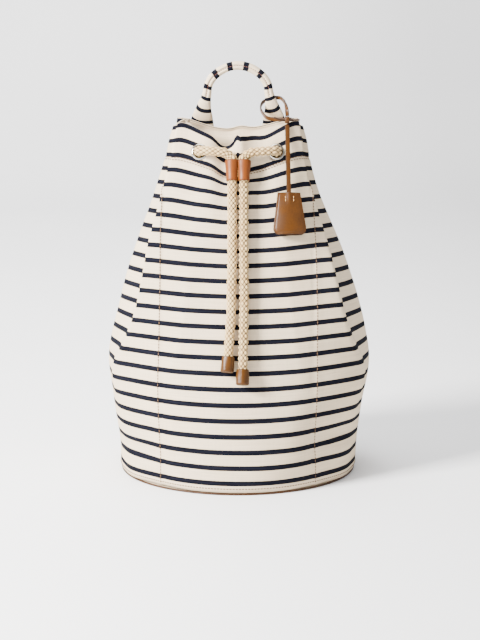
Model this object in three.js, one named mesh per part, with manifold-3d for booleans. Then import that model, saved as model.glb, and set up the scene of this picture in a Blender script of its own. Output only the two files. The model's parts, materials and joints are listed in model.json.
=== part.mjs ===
// Striped canvas drawstring bucket bag with a rope closure, a rolled top handle and a leather key bell.
// Millimetres, +Z up, the front of the bag faces -Y, the origin is the middle of the base on the floor.

import * as THREE from 'three';
import { mergeVertices } from 'three/addons/utils/BufferGeometryUtils.js';
import Module from 'manifold-3d';

const wasm = await Module();
wasm.setup();

// ---------------------------------------------------------------- driving dimensions

const gap = 0.4;                 // room left between pieces that touch
const clothThickness = 2.2;      // canvas with its lining
const baseRadius = 150;
const rimLevel = 443;            // height of the rim at the front corners
const halfGirth = 471;           // cloth from the front centre line to the back centre line
const panelHalfWidth = 100;      // front and back panels, seam to centre line, along the cloth
const backDepth = { base: 1, rim: 0.86 };   // depth of the back relative to the front

// Cross-sections of the filled-out, cinched bag. Each is one quarter of a ring: the front centre
// line, the corner where the front folds over the side, the tuck behind it and the side ridge.
const stations = [
  { z: 0, frontY: 150, cornerX: 123, cornerY: 86, tuckX: 143.5, tuckY: 44, ridgeX: 150 },
  { z: 40, frontY: 151, cornerX: 125, cornerY: 86, tuckX: 146, tuckY: 44, ridgeX: 152.5 },
  { z: 90, frontY: 147, cornerX: 136, cornerY: 80, tuckX: 153, tuckY: 42, ridgeX: 158.5 },
  { z: 138, frontY: 136, cornerX: 150, cornerY: 69, tuckX: 158, tuckY: 40, ridgeX: 165 },
  { z: 180, frontY: 125, cornerX: 138, cornerY: 75, tuckX: 142, tuckY: 51, ridgeX: 160 },
  { z: 215, frontY: 113, cornerX: 128, cornerY: 74, tuckX: 126, tuckY: 53, ridgeX: 152 },
  { z: 257, frontY: 99, cornerX: 119, cornerY: 67, tuckX: 113, tuckY: 48, ridgeX: 140 },
  { z: 300, frontY: 84, cornerX: 109, cornerY: 57, tuckX: 101, tuckY: 40, ridgeX: 125 },
  { z: 350, frontY: 68, cornerX: 95, cornerY: 45, tuckX: 85, tuckY: 29, ridgeX: 105 },
  { z: 400, frontY: 50, cornerX: 82, cornerY: 33, tuckX: 70, tuckY: 19, ridgeX: 90 },
  { z: rimLevel, frontY: 36, cornerX: 75, cornerY: 25, tuckX: 62, tuckY: 13, ridgeX: 81 },
];
const shoulder = { across: 0.52, depth: 0.76 };   // the front's curve between centre and corner
const crease = { from: 110, to: 190, sharpness: 0.65 };
const frontSlack = 0.07;          // share of the front panel taken up by small folds at the rim
const frontDroop = { depth: 24, reach: 90 };
const sideDroop = { depth: 8, reach: 60, width: 60 };
const backDroop = { depth: 14, reach: 60 };

const ropeRadius = 6;
const ropeHoleRadius = 6.45;
const tailSpacing = 14.2;
const eyelet = { s: 51, level: 415, barrel: 7.2, flange: 10.3, flangeThickness: 1.6, standOff: 0.9 };
const cordSlider = { top: 407, restsAt: 14, height: 26, radius: 8.3, clearance: 10.2 };
const endCap = { radius: 8.3, height: 19, bore: 6.35, boreDepth: 15 };

const handle = { pivotX: 38.5, pivotY: 28, pivotZ: 478, tube: 5.5, apex: 509, footThickness: 3 };
const strap = { x: 60.5, width: 5.7, thickness: 2.4 };
const strapEye = { y: -35.5, z: 446, radius: 4.4, bore: 2.9 };
const bell = { start: 84, height: 52.6, leather: 1.8, turn: 0.4 };
const keyRing = { radius: 9, wire: 0.8 };

// ---------------------------------------------------------------- small tools

const group = new THREE.Group();
const colours = {
  canvas: ['#e6dccb', 0.9, 0],
  board: ['#8a7a63', 0.9, 0],
  rope: ['#d3c09c', 0.9, 0],
  leather: ['#b6763c', 0.6, 0],
  paleLeather: ['#cb9468', 0.6, 0],
  nickel: ['#d9d3c4', 0.3, 1],
};

function addPart(name, geometry, finish, parent = group) {
  const [color, roughness, metalness] = colours[finish];
  const mesh = new THREE.Mesh(geometry, new THREE.MeshStandardMaterial({ color, roughness, metalness }));
  mesh.name = name;
  parent.add(mesh);
  return mesh;
}

const vec = (x, y, z) => new THREE.Vector3(x, y, z);
const clamp01 = (t) => Math.min(1, Math.max(0, t));
const smoothStep = (a, b, x) => {
  const t = clamp01((x - a) / (b - a));
  return t * t * (3 - 2 * t);
};
const spread = (from, to, count) => (
  Array.from({ length: count + 1 }, (_, i) => from + ((to - from) * i) / count)
);

function hermite(rows, x, xKey, key) {
  const last = rows.length - 1;
  let i = 0;
  while (i < last - 1 && x > rows[i + 1][xKey]) i += 1;
  const slope = (k) => {
    const a = rows[Math.max(0, k - 1)];
    const b = rows[Math.min(last, k + 1)];
    return (b[key] - a[key]) / (b[xKey] - a[xKey]);
  };
  const span = rows[i + 1][xKey] - rows[i][xKey];
  const t = (x - rows[i][xKey]) / span;
  const t2 = t * t;
  const t3 = t2 * t;
  return (2 * t3 - 3 * t2 + 1) * rows[i][key] + (t3 - 2 * t2 + t) * span * slope(i)
    + (3 * t2 - 2 * t3) * rows[i + 1][key] + (t3 - t2) * span * slope(i + 1);
}

function solidFrom(points, faces) {
  const geometry = new THREE.BufferGeometry();
  const positions = points.flatMap((point) => [point.x, point.y, point.z]);
  geometry.setAttribute('position', new THREE.Float32BufferAttribute(positions, 3));
  const volume = faces.reduce((sum, [a, b, c]) => sum + points[a].dot(points[b].clone().cross(points[c])), 0);
  geometry.setIndex(faces.flatMap(([a, b, c]) => (volume < 0 ? [a, c, b] : [a, b, c])));
  return geometry;
}

// A closed sheet between two grids of points, outer[row][column] and inner[row][column].
function gridSolid(outer, inner) {
  const rows = outer.length;
  const columns = outer[0].length;
  const shift = rows * columns;
  const faces = [];
  const quad = (p, q, r, t) => faces.push([p, q, r], [p, r, t]);
  for (let j = 0; j < rows - 1; j += 1) {
    for (let i = 0; i < columns - 1; i += 1) {
      const a = j * columns + i;
      quad(a, a + 1, a + 1 + columns, a + columns);
      quad(shift + a, shift + a + columns, shift + a + 1 + columns, shift + a + 1);
    }
    const left = j * columns;
    const right = left + columns - 1;
    quad(left, left + columns, shift + left + columns, shift + left);
    quad(right, shift + right, shift + right + columns, right + columns);
  }
  const top = (rows - 1) * columns;
  for (let i = 0; i < columns - 1; i += 1) {
    quad(i, shift + i, shift + i + 1, i + 1);
    quad(top + i, top + i + 1, shift + top + i + 1, shift + top + i);
  }
  return solidFrom([...outer.flat(), ...inner.flat()], faces);
}

function manifoldOf(geometry) {
  const bare = geometry.clone();
  bare.deleteAttribute('normal');
  bare.deleteAttribute('uv');
  const merged = mergeVertices(bare, 1e-4);
  const vertProperties = new Float32Array(merged.attributes.position.array);
  const triVerts = new Uint32Array(merged.index.array);
  return new wasm.Manifold(new wasm.Mesh({ numProp: 3, vertProperties, triVerts }));
}

function geometryOf(manifold) {
  const mesh = manifold.getMesh();
  const geometry = new THREE.BufferGeometry();
  geometry.setAttribute('position', new THREE.Float32BufferAttribute(Array.from(mesh.vertProperties), 3));
  geometry.setIndex(Array.from(mesh.triVerts));
  return geometry;
}

function cylinderAlong(from, to, radius, sides) {
  const length = from.distanceTo(to);
  const geometry = new THREE.CylinderGeometry(radius, radius, length, sides);
  const turn = new THREE.Quaternion().setFromUnitVectors(vec(0, 1, 0), to.clone().sub(from).normalize());
  geometry.applyQuaternion(turn);
  const middle = from.clone().add(to).multiplyScalar(0.5);
  return geometry.translate(middle.x, middle.y, middle.z);
}

function tubeAlong(points, radius, sides, steps) {
  const section = new THREE.Shape().absarc(0, 0, radius, 0, Math.PI * 2);
  const path = new THREE.CatmullRomCurve3(points, false, 'centripetal');
  return new THREE.ExtrudeGeometry(section, { steps, curveSegments: sides / 2, extrudePath: path });
}

// A flat strip: its middle line runs through the points, its width lies along acrossAt(t).
function stripAlong(points, acrossAt, widthAt, thickness, steps) {
  const path = new THREE.CatmullRomCurve3(points, false, 'centripetal');
  const outer = [];
  const inner = [];
  for (const t of spread(0, 1, steps)) {
    const along = path.getTangentAt(t);
    const across = acrossAt(t);
    across.addScaledVector(along, -across.dot(along)).normalize();
    const face = along.clone().cross(across).multiplyScalar(thickness / 2);
    const half = across.clone().multiplyScalar(widthAt(t) / 2);
    const middle = path.getPointAt(t);
    const row = [middle.clone().sub(half), middle.clone().add(half)];
    outer.push(row.map((point) => point.clone().add(face)));
    inner.push(row.map((point) => point.clone().sub(face)));
  }
  return gridSolid(outer, inner);
}

// Turns a geometry's own axes onto the given ones and moves its origin to the given point.
function placeInFrame(geometry, xAxis, yAxis, zAxis, origin) {
  return geometry.applyMatrix4(new THREE.Matrix4().makeBasis(xAxis, yAxis, zAxis).setPosition(origin));
}

// ---------------------------------------------------------------- the shape of the cloth shell

const profile = (level, key) => hermite(stations, level, 'z', key);

function halfRing(level) {
  const frontY = profile(level, 'frontY');
  const cornerX = profile(level, 'cornerX');
  const cornerY = profile(level, 'cornerY');
  const tuckX = profile(level, 'tuckX');
  const tuckY = profile(level, 'tuckY');
  const back = backDepth.base + (backDepth.rim - backDepth.base) * clamp01(level / rimLevel);
  const shoulderX = shoulder.across * cornerX;
  const shoulderY = cornerY + (frontY - cornerY) * shoulder.depth;
  const knots = [
    [-shoulderX, -shoulderY], [0, -frontY], [shoulderX, -shoulderY], [cornerX, -cornerY], [tuckX, -tuckY],
    [profile(level, 'ridgeX'), 0],
    [tuckX, tuckY * back], [cornerX, cornerY * back], [shoulderX, shoulderY * back], [0, frontY * back],
    [-shoulderX, shoulderY * back],
  ];
  const sharp = crease.sharpness * smoothStep(crease.from, crease.to, level);
  const perSegment = 10;
  const points = [];
  for (let k = 1; k < knots.length - 2; k += 1) {
    for (let i = 0; i < perSegment; i += 1) {
      points.push(knotCurve(knots, k, i / perSegment, sharp));
    }
  }
  points.push(knots[knots.length - 2]);
  const lengths = [0];
  for (let i = 1; i < points.length; i += 1) {
    const [dx, dy] = [points[i][0] - points[i - 1][0], points[i][1] - points[i - 1][1]];
    lengths.push(lengths[i - 1] + Math.hypot(dx, dy));
  }
  return { points, lengths, ridgeLength: lengths[perSegment * 4], total: lengths[lengths.length - 1] };
}

function knotCurve(knots, k, t, sharp) {
  return [0, 1].map((axis) => {
    const [a, b, c, d] = [-1, 0, 1, 2].map((offset) => knots[k + offset][axis]);
    const round = 0.5 * (2 * b + (c - a) * t + (2 * a - 5 * b + 4 * c - d) * t * t
      + (3 * b - a - 3 * c + d) * t * t * t);
    return round + (b + (c - b) * t - round) * sharp;
  });
}

// The length along the ring at the cloth coordinate s, which runs from the front centre line.
function ringLength(ring, s, level) {
  const taken = panelHalfWidth * (1 - frontSlack * clamp01(level / rimLevel));
  const side = (halfGirth - 2 * panelHalfWidth) / 2;
  if (s < panelHalfWidth) return (s / panelHalfWidth) * taken;
  if (s < panelHalfWidth + side) {
    return taken + ((s - panelHalfWidth) / side) * (ring.ridgeLength - taken);
  }
  if (s < halfGirth - panelHalfWidth) {
    return ring.ridgeLength
      + ((s - panelHalfWidth - side) / side) * (ring.total - taken - ring.ridgeLength);
  }
  return ring.total - ((halfGirth - s) / panelHalfWidth) * taken;
}

function droopAt(s, level) {
  const depth = Math.max(0, rimLevel - level);
  const dome = (q) => Math.max(0, 1 - q * q) ** 1.5;
  const corner = profile(Math.min(level, rimLevel), 'cornerX') * 1.02;
  const front = frontDroop.depth * Math.exp(-depth / frontDroop.reach) * dome(s / corner);
  const side = sideDroop.depth * Math.exp(-depth / sideDroop.reach)
    * Math.exp(-(((s - halfGirth / 2) / sideDroop.width) ** 2));
  const back = backDroop.depth * Math.exp(-depth / backDroop.reach) * dome((halfGirth - s) / corner);
  return front + side + back;
}

// A point of the shell's outer face: s along the girth (positive to the right), level up the cloth.
function shellPoint(s, level) {
  const along = Math.abs(s);
  const ring = halfRing(level);
  const target = ringLength(ring, along, level);
  let i = 1;
  while (i < ring.lengths.length - 1 && ring.lengths[i] < target) i += 1;
  const t = (target - ring.lengths[i - 1]) / (ring.lengths[i] - ring.lengths[i - 1]);
  const [x0, y0] = ring.points[i - 1];
  const [x1, y1] = ring.points[i];
  return vec(Math.sign(s) * (x0 + (x1 - x0) * t), y0 + (y1 - y0) * t, level - droopAt(along, level));
}

function shellNormal(s, level, reach = 6) {
  const along = shellPoint(s + reach, level).sub(shellPoint(s - reach, level));
  const up = shellPoint(s, level + reach / 2).sub(shellPoint(s, level - reach / 2));
  return along.cross(up).normalize();
}

// The point of the front face that lies at the given x and height.
function frontPoint(x, z) {
  let s = x;
  let level = z;
  for (let turn = 0; turn < 12; turn += 1) {
    const point = shellPoint(s, level);
    s += x - point.x;
    level = Math.min(rimLevel - 2, level + z - point.z);
  }
  return { point: shellPoint(s, level), normal: shellNormal(s, level) };
}

// ---------------------------------------------------------------- canvas panels

const panelLevels = [3.8, 25, 50, 80, 110, 138, 165, 190, 215, 250, 290, 330, 365, 395, 415, 429, rimLevel];

function clothPanel(fromS, toS, pieces) {
  const outer = [];
  const inner = [];
  for (const level of panelLevels) {
    const row = spread(fromS, toS, pieces).map((s) => shellPoint(s, level));
    const behind = spread(fromS, toS, pieces).map((s, i) => (
      row[i].clone().addScaledVector(shellNormal(s, Math.min(level, rimLevel - 3)), -clothThickness)
    ));
    outer.push(row);
    inner.push(behind);
  }
  return gridSolid(outer, inner);
}

const seam = gap / 2;
const frontCloth = clothPanel(-panelHalfWidth + seam, panelHalfWidth - seam, 14);
const sideFrom = panelHalfWidth + seam;
const sideTo = halfGirth - panelHalfWidth - seam;

// The back panel crosses the point where s changes sign, so it is made from its two halves' rows.
function backPanel() {
  const sValues = spread(halfGirth - panelHalfWidth + seam, halfGirth, 6);
  const mirrored = sValues.slice(0, -1).reverse();
  const outer = [];
  const inner = [];
  const flip = (point) => vec(-point.x, point.y, point.z);
  for (const level of panelLevels) {
    const behindLevel = Math.min(level, rimLevel - 3);
    const face = (s) => shellPoint(s, level);
    const normal = (s) => shellNormal(Math.min(s, halfGirth - 6), behindLevel);
    const back = (s) => face(s).addScaledVector(normal(s), -clothThickness);
    outer.push([...sValues.map(face), ...mirrored.map((s) => flip(face(s)))]);
    inner.push([...sValues.map(back), ...mirrored.map((s) => flip(back(s)))]);
  }
  return gridSolid(outer, inner);
}

// ---------------------------------------------------------------- eyelets

function ringLathe(profilePoints, sides) {
  const closed = [...profilePoints, profilePoints[0]].map(([r, h]) => new THREE.Vector2(r, h));
  return new THREE.LatheGeometry(closed, sides);
}

const eyelets = [-1, 1].map((side) => {
  const centre = shellPoint(side * eyelet.s, eyelet.level);
  const normal = shellNormal(side * eyelet.s, eyelet.level, 12);
  return { side, centre, normal, name: side < 0 ? 'left' : 'right' };
});

let frontSolid = manifoldOf(frontCloth);
for (const { centre, normal } of eyelets) {
  const hole = cylinderAlong(
    centre.clone().addScaledVector(normal, -8),
    centre.clone().addScaledVector(normal, 8),
    eyelet.barrel + gap,
    20,
  );
  frontSolid = frontSolid.subtract(manifoldOf(hole));
}
addPart('front_panel', geometryOf(frontSolid), 'canvas');
addPart('back_panel', backPanel(), 'canvas');
addPart('side_panel_right', clothPanel(sideFrom, sideTo, 26), 'canvas');
addPart('side_panel_left', clothPanel(-sideTo, -sideFrom, 26), 'canvas');

for (const { centre, normal, name } of eyelets) {
  const { barrel, flange, flangeThickness, standOff } = eyelet;
  const washerTop = -clothThickness - standOff;
  const washerFoot = washerTop - 1.2;
  const flangeTop = standOff + flangeThickness;
  const front = ringLathe([
    [ropeHoleRadius, washerFoot], [barrel, washerFoot], [barrel, standOff], [flange, standOff],
    [flange - 1, flangeTop], [ropeHoleRadius + 0.8, flangeTop], [ropeHoleRadius, flangeTop - 0.6],
  ], 28);
  const washer = ringLathe([
    [barrel + gap, washerFoot], [flange, washerFoot], [flange, washerTop], [barrel + gap, washerTop],
  ], 28);
  const turn = new THREE.Quaternion().setFromUnitVectors(vec(0, 1, 0), normal);
  for (const [label, ring] of [['eyelet', front], ['eyelet_washer', washer]]) {
    const mesh = addPart(`${label}_${name}`, ring, 'nickel');
    mesh.quaternion.copy(turn);
    mesh.position.copy(centre);
  }
}

// ---------------------------------------------------------------- base

const baseSides = 56;
function disc(radius, from, to) {
  const corners = [[0, from], [radius, from], [radius, to], [0, to]].map(([r, h]) => new THREE.Vector2(r, h));
  return new THREE.LatheGeometry(corners, baseSides).rotateX(Math.PI / 2);
}
addPart('base_panel', disc(baseRadius - 4, 0, clothThickness), 'canvas');
addPart('base_board', disc(baseRadius - 5, clothThickness + gap, 6), 'board');

const piping = { ring: baseRadius - 1.8, height: 1.7, radius: 1.5 };
const circle = (x, y, radius, sides) => spread(0, Math.PI * 2, sides).slice(0, -1).map((angle) => (
  [x + radius * Math.cos(angle), y + radius * Math.sin(angle)]
));
const pipingProfile = circle(piping.ring, piping.height, piping.radius, 8);
addPart('base_piping', ringLathe(pipingProfile, baseSides).rotateX(Math.PI / 2), 'canvas');

// ---------------------------------------------------------------- hem facing and the cord inside it

// The facing is the inner wall of the cord's tunnel: a band round the inside of the mouth.
const facing = { from: 390, to: 416, thickness: 1.4 };
const facingLine = [
  [0, -32.5], [28, -31.5], [39, -24], [45, -12], [47.5, 0], [43.5, 8.5], [32, 15.5], [0, 20],
];
const mirrorLine = (line) => [...line, ...line.slice(1, -1).reverse().map(([x, y]) => [-x, y])];

function facingBand() {
  const outline = mirrorLine(facingLine).map(([x, y]) => vec(x, y, 0));
  const curve = new THREE.CatmullRomCurve3(outline, true, 'centripetal');
  const outer = [];
  const inner = [];
  for (const t of spread(0, 1, 36).slice(0, -1)) {
    const along = curve.getTangentAt(t);
    const point = curve.getPointAt(t);
    outer.push(new THREE.Vector2(point.x, point.y));
    inner.push(new THREE.Vector2(point.x - along.y * facing.thickness, point.y + along.x * facing.thickness));
  }
  const shape = new THREE.Shape(outer);
  shape.holes.push(new THREE.Path(inner));
  return new THREE.ExtrudeGeometry(shape, { depth: facing.to - facing.from, steps: 1, bevelEnabled: false });
}
addPart('hem_facing', facingBand(), 'canvas').position.z = facing.from;

// Half of the hidden cord's way round the mouth, from inside an eyelet to the middle of the back.
const cordJoint = -5;             // where the hidden cord and a tail meet, behind the cloth
const inside = ({ centre, normal }, depth) => centre.clone().addScaledVector(normal, cordJoint - depth);
const hiddenHalf = [
  [52.5, -24, 408], [55.5, -12, 409], [56, 2, 410], [52.5, 13, 410], [42, 21.5, 410], [22, 26, 410],
];
const hiddenRoute = [
  inside(eyelets[0], gap), inside(eyelets[0], 5),
  ...hiddenHalf.map(([x, y, z]) => vec(-x, y, z)), vec(0, 27.5, 410),
  ...hiddenHalf.map(([x, y, z]) => vec(x, y, z)).reverse(),
  inside(eyelets[1], 5), inside(eyelets[1], gap),
];
addPart('drawcord_in_hem', tubeAlong(hiddenRoute, ropeRadius, 10, 36), 'rope');

// ---------------------------------------------------------------- cord tails, cord slider, end caps

// The tails lie on the front's slope, a constant distance off it, all along the slider's travel.
const slopeTop = frontPoint(0, cordSlider.top);
const slopeFoot = frontPoint(0, 262);
const travelTop = slopeTop.point.clone().addScaledVector(slopeTop.normal, cordSlider.clearance);
const travelFoot = slopeFoot.point.clone().addScaledVector(slopeFoot.normal, cordSlider.clearance);
const travelAxis = travelFoot.clone().sub(travelTop).normalize();

const onTravel = (side, distance) => travelTop.clone().addScaledVector(travelAxis, distance)
  .add(vec((side * tailSpacing) / 2, 0, 0));
const offFront = (x, z, distance) => {
  const { point, normal } = frontPoint(x, z);
  return point.addScaledVector(normal, distance);
};

function sliderBody() {
  const half = tailSpacing / 2;
  const meet = Math.acos(half / cordSlider.radius);
  const outline = new THREE.Shape();
  outline.absarc(half, 0, cordSlider.radius, -Math.PI + meet, Math.PI - meet, false);
  outline.absarc(-half, 0, cordSlider.radius, meet, Math.PI * 2 - meet, false);
  for (const side of [-1, 1]) {
    outline.holes.push(new THREE.Path().absarc(side * half, 0, ropeHoleRadius, 0, Math.PI * 2, true));
  }
  return new THREE.ExtrudeGeometry(outline, {
    depth: cordSlider.height, steps: 1, curveSegments: 14, bevelEnabled: false,
  });
}
const sliderTop = travelTop.clone().addScaledVector(travelAxis, cordSlider.restsAt);
const travelOut = travelAxis.clone().cross(vec(1, 0, 0)).normalize();
const slider = placeInFrame(sliderBody(), vec(1, 0, 0), travelOut, travelAxis, sliderTop);
addPart('cord_slider', slider, 'paleLeather');

// Each tail in three stretches: out of the eyelet to the slider, down its travel, and on to its cap.
const tailRoutes = eyelets.map((hole) => {
  const { side, centre, normal } = hole;
  const out = (distance) => centre.clone().addScaledVector(normal, distance);
  const beside = (x, forward, rise) => vec(side * x, centre.y - forward, centre.z + rise);
  const fall = side < 0
    ? [[-7.2, 240, 8.2], [-7.6, 215, 7.4], [-9.5, 185, 8], [-11.8, 153, 10]]
    : [[6.9, 240, 8.2], [6.4, 210, 7.4], [5.6, 175, 8], [4.8, 138.5, 10]];
  return [
    out(cordJoint), out(2), out(8), beside(45, 11.5, 3), beside(36, 13.8, 2.7), beside(26, 14.1, 2),
    beside(16.5, 14, 0.7), beside(9.8, 13.6, -3.5),
    ...[11.5, 16.5, 20, 35, 60, 90, 120, 145].map((distance) => onTravel(side, distance)),
    ...fall.map(([x, z, distance]) => offFront(x, z, distance)),
  ];
});
eyelets.forEach(({ name }, i) => {
  const route = tailRoutes[i];
  addPart(`rope_tail_${name}`, tubeAlong(route, ropeRadius, 10, 54), 'rope');
  const end = route[route.length - 1];
  const axis = end.clone().sub(route[route.length - 2]).normalize();
  const { radius, height, bore, boreDepth } = endCap;
  const floor = height - boreDepth;
  const outline = [[0, 0], [radius, 0], [radius, height], [bore, height], [bore, floor], [0, floor]];
  const cup = ringLathe(outline, 24);
  const mesh = addPart(`end_cap_${name}`, cup, 'leather');
  mesh.quaternion.setFromUnitVectors(vec(0, -1, 0), axis);
  mesh.position.copy(end).addScaledVector(axis, gap + floor);
});

// ---------------------------------------------------------------- rolled top handle

// Each foot is sewn to the back's outer face, leaves it at the rim and narrows to the rolled neck.
const footOutline = [
  { z: 398, width: 16, x: 47 }, { z: 408, width: 27, x: 47 }, { z: 420, width: 33, x: 46.5 },
  { z: 434, width: 31, x: 46 }, { z: 452, width: 22, x: 44 }, { z: 463, width: 14, x: 42 },
  { z: handle.pivotZ - handle.tube - gap, width: 10, x: handle.pivotX + 1 },
];
function backPoint(x, z) {
  let s = halfGirth - x;
  let level = z;
  for (let turn = 0; turn < 12; turn += 1) {
    const point = shellPoint(s, level);
    s -= x - point.x;
    level = Math.min(rimLevel - 2, level + z - point.z);
  }
  return shellPoint(s, level);
}
const footStandOff = handle.footThickness / 2 + 1.2;
const clothSlope = (backPoint(62, 415).y - backPoint(32, 415).y) / 30;
function footSide(side) {
  const line = footOutline.map(({ z, x }) => {
    const onCloth = backPoint(x, Math.min(z, 420)).y + footStandOff;
    const y = onCloth + (handle.pivotY - onCloth) * smoothStep(424, 456, z);
    return vec(side * x, y, z);
  });
  const widthAt = (t) => {
    const z = footOutline[0].z + t * (footOutline[footOutline.length - 1].z - footOutline[0].z);
    return hermite(footOutline, z, 'z', 'width');
  };
  const acrossAt = (t) => vec(1, side * clothSlope * (1 - smoothStep(0.45, 0.8, t)), 0);
  return stripAlong(line, acrossAt, widthAt, handle.footThickness, 10);
}
addPart('handle_foot_left', footSide(-1), 'canvas');
addPart('handle_foot_right', footSide(1), 'canvas');

function gripSolid() {
  const rise = handle.apex - handle.pivotZ;
  const squareness = 1.08;
  const arch = spread(0, Math.PI, 14).map((angle) => vec(
    Math.sign(Math.cos(angle)) * handle.pivotX * Math.abs(Math.cos(angle)) ** squareness,
    handle.pivotY,
    handle.pivotZ + rise * Math.max(0, Math.sin(angle)) ** squareness,
  ));
  let solid = manifoldOf(tubeAlong(arch, handle.tube, 12, 28));
  for (const side of [-1, 1]) {
    const ball = new THREE.SphereGeometry(handle.tube, 12, 8);
    solid = solid.add(manifoldOf(ball.translate(side * handle.pivotX, handle.pivotY, handle.pivotZ)));
  }
  return geometryOf(solid);
}
addPart('handle_grip', gripSolid(), 'canvas');

// ---------------------------------------------------------------- leather strap looped round the neck

// The loop rises from above the strap's eye, passes behind the neck and comes back over the front rim.
const eyeCentre = vec(strap.x, strapEye.y, strapEye.z);
const loopRoute = [
  [60.5, -34.5, 452], [60, -32.5, 458], [58, -16, 465], [55, 8, 468], [51.5, 28, 468.5], [42, 37, 467.5],
  [32, 31.5, 463], [28.5, 17, 456.5], [32, -2, 450], [37.5, -17, 446.5], [47, -26.5, 446], [56, -28.5, 446],
  [66, -28.5, 446],
].map(([x, y, z]) => vec(x, y, z));
// The strip lies flat against what it goes round: its width turns from sideways to upright and back.
const loopAcross = (t) => (t < 0.12 ? vec(1, 0, 0).lerp(vec(0.2, -0.4, 1), t / 0.12) : vec(0, -0.25, 1));
addPart('key_loop', stripAlong(loopRoute, loopAcross, () => 5, 2, 26), 'leather');

const tailRoute = [vec(44, -33, 448.5), vec(52, -34.9, 446.6), eyeCentre, vec(76, -36, 446)];
addPart('key_loop_tail', stripAlong(tailRoute, () => vec(0, 1, 0.12), () => 4.4, 2, 8), 'leather');

// ---------------------------------------------------------------- hanging strap, key ring and bell

const pivotDrop = strapEye.radius + gap + strap.width / 2;
const swingPivot = eyeCentre.clone().add(vec(0, 0, -pivotDrop));
const bellFoot = frontPoint(strap.x, 306);
const strapAim = bellFoot.point.clone().addScaledVector(bellFoot.normal, 10);
const down = strapAim.sub(swingPivot).normalize();
const facingWay = vec(bellFoot.normal.x * bell.turn, bellFoot.normal.y, bellFoot.normal.z);
const outward = facingWay.addScaledVector(down, -facingWay.dot(down)).normalize();
const sideways = down.clone().cross(outward);
const inHang = (drop, out, across) => swingPivot.clone().addScaledVector(down, drop)
  .addScaledVector(outward, out).addScaledVector(sideways, across);

function eyeTube(bore, radius, length) {
  return ringLathe([[bore, -length / 2], [radius, -length / 2], [radius, length / 2], [bore, length / 2]], 20);
}
const eye = eyeTube(strapEye.bore, strapEye.radius, strap.width);
addPart('strap_eye', placeInFrame(eye, vec(0, 1, 0), vec(1, 0, 0), vec(0, 0, -1), eyeCentre), 'leather');

// The strap's side view: a thin bar that ends in a folded eye for the key ring.
const ringEye = { radius: 2.7, bore: 1.3 };
const ringEyeDrop = bell.start + 16;
function strapSolid() {
  const half = strap.thickness / 2;
  const meet = Math.asin(half / ringEye.radius);
  const side = new THREE.Shape();
  side.moveTo(0, -half);
  side.lineTo(0, half);
  side.absarc(ringEyeDrop, 0, ringEye.radius, Math.PI - meet, -Math.PI + meet, true);
  side.holes.push(new THREE.Path().absarc(ringEyeDrop, 0, ringEye.bore, 0, Math.PI * 2, false));
  const depth = strap.width;
  const bar = new THREE.ExtrudeGeometry(side, { depth, steps: 1, curveSegments: 12, bevelEnabled: false });
  bar.translate(0, 0, -depth / 2);
  const roundTop = new THREE.CylinderGeometry(strap.width / 2, strap.width / 2, strap.thickness, 20);
  const solid = geometryOf(manifoldOf(bar).add(manifoldOf(roundTop)));
  return placeInFrame(solid, down, outward, sideways, swingPivot);
}
addPart('key_strap', strapSolid(), 'leather');

const ringCentre = inHang(ringEyeDrop + keyRing.radius, 0, 0);
const ringSolid = ringLathe(circle(keyRing.radius, 0, keyRing.wire, 8), 28);
addPart('key_ring', placeInFrame(ringSolid, down, outward, sideways, ringCentre), 'nickel');

// Half the bell's width and half its hollow, from the top edge down.
const bellOutline = [
  { drop: 0, half: 14.2, hollow: 1.9 }, { drop: 14, half: 16.2, hollow: 3.2 },
  { drop: 28, half: 18.2, hollow: 4 }, { drop: 43, half: 20.5, hollow: 4.4 },
  { drop: 48, half: 19.8, hollow: 4.2 }, { drop: 51, half: 17.6, hollow: 3.8 },
  { drop: bell.height, half: 13.6, hollow: 3.4 },
];
function bellLayer(side) {
  const face = (u, row, depth) => inHang(
    bell.start + row.drop,
    side * (gap / 2 + row.hollow * (1 - u * u) + depth),
    u * row.half,
  );
  const grid = (depth) => bellOutline.map((row) => spread(-1, 1, 10).map((u) => face(u, row, depth)));
  return gridSolid(grid(bell.leather), grid(0));
}
addPart('bell_front', bellLayer(1), 'leather');
addPart('bell_back', bellLayer(-1), 'leather');

export default group;
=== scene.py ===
# Looks for a striped canvas drawstring bucket bag: one sewn and cinched canvas shell, a braided
# drawcord with its leather slider and end caps, a rolled canvas handle and a leather key bell.
# Metres, +Z up, the front faces -Y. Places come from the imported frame, or from the same tables
# and formulas as the CAD source.

import json
import math

import bpy
import numpy as np
from mathutils import Matrix, Vector, noise


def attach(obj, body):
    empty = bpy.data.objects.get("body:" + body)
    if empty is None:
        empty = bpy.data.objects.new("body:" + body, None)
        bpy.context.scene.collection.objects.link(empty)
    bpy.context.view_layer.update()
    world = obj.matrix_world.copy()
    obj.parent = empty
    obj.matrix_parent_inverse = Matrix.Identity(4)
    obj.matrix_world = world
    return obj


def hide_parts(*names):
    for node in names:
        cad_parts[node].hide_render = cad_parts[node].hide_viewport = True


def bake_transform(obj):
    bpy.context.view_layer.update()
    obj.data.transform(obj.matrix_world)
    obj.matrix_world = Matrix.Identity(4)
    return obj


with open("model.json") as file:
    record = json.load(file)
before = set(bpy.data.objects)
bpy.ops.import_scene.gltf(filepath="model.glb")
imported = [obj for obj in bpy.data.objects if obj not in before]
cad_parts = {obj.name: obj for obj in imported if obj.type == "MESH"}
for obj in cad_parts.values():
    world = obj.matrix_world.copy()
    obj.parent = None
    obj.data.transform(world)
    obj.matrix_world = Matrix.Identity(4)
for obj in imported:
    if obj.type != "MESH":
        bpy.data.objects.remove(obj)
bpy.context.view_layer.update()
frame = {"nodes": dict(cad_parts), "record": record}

MM = 0.001


def fit(obj, body, slot, *nodes):
    """The piece moves with the body, and stands for the CAD nodes named."""
    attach(obj, body)
    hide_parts(*nodes)


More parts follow.
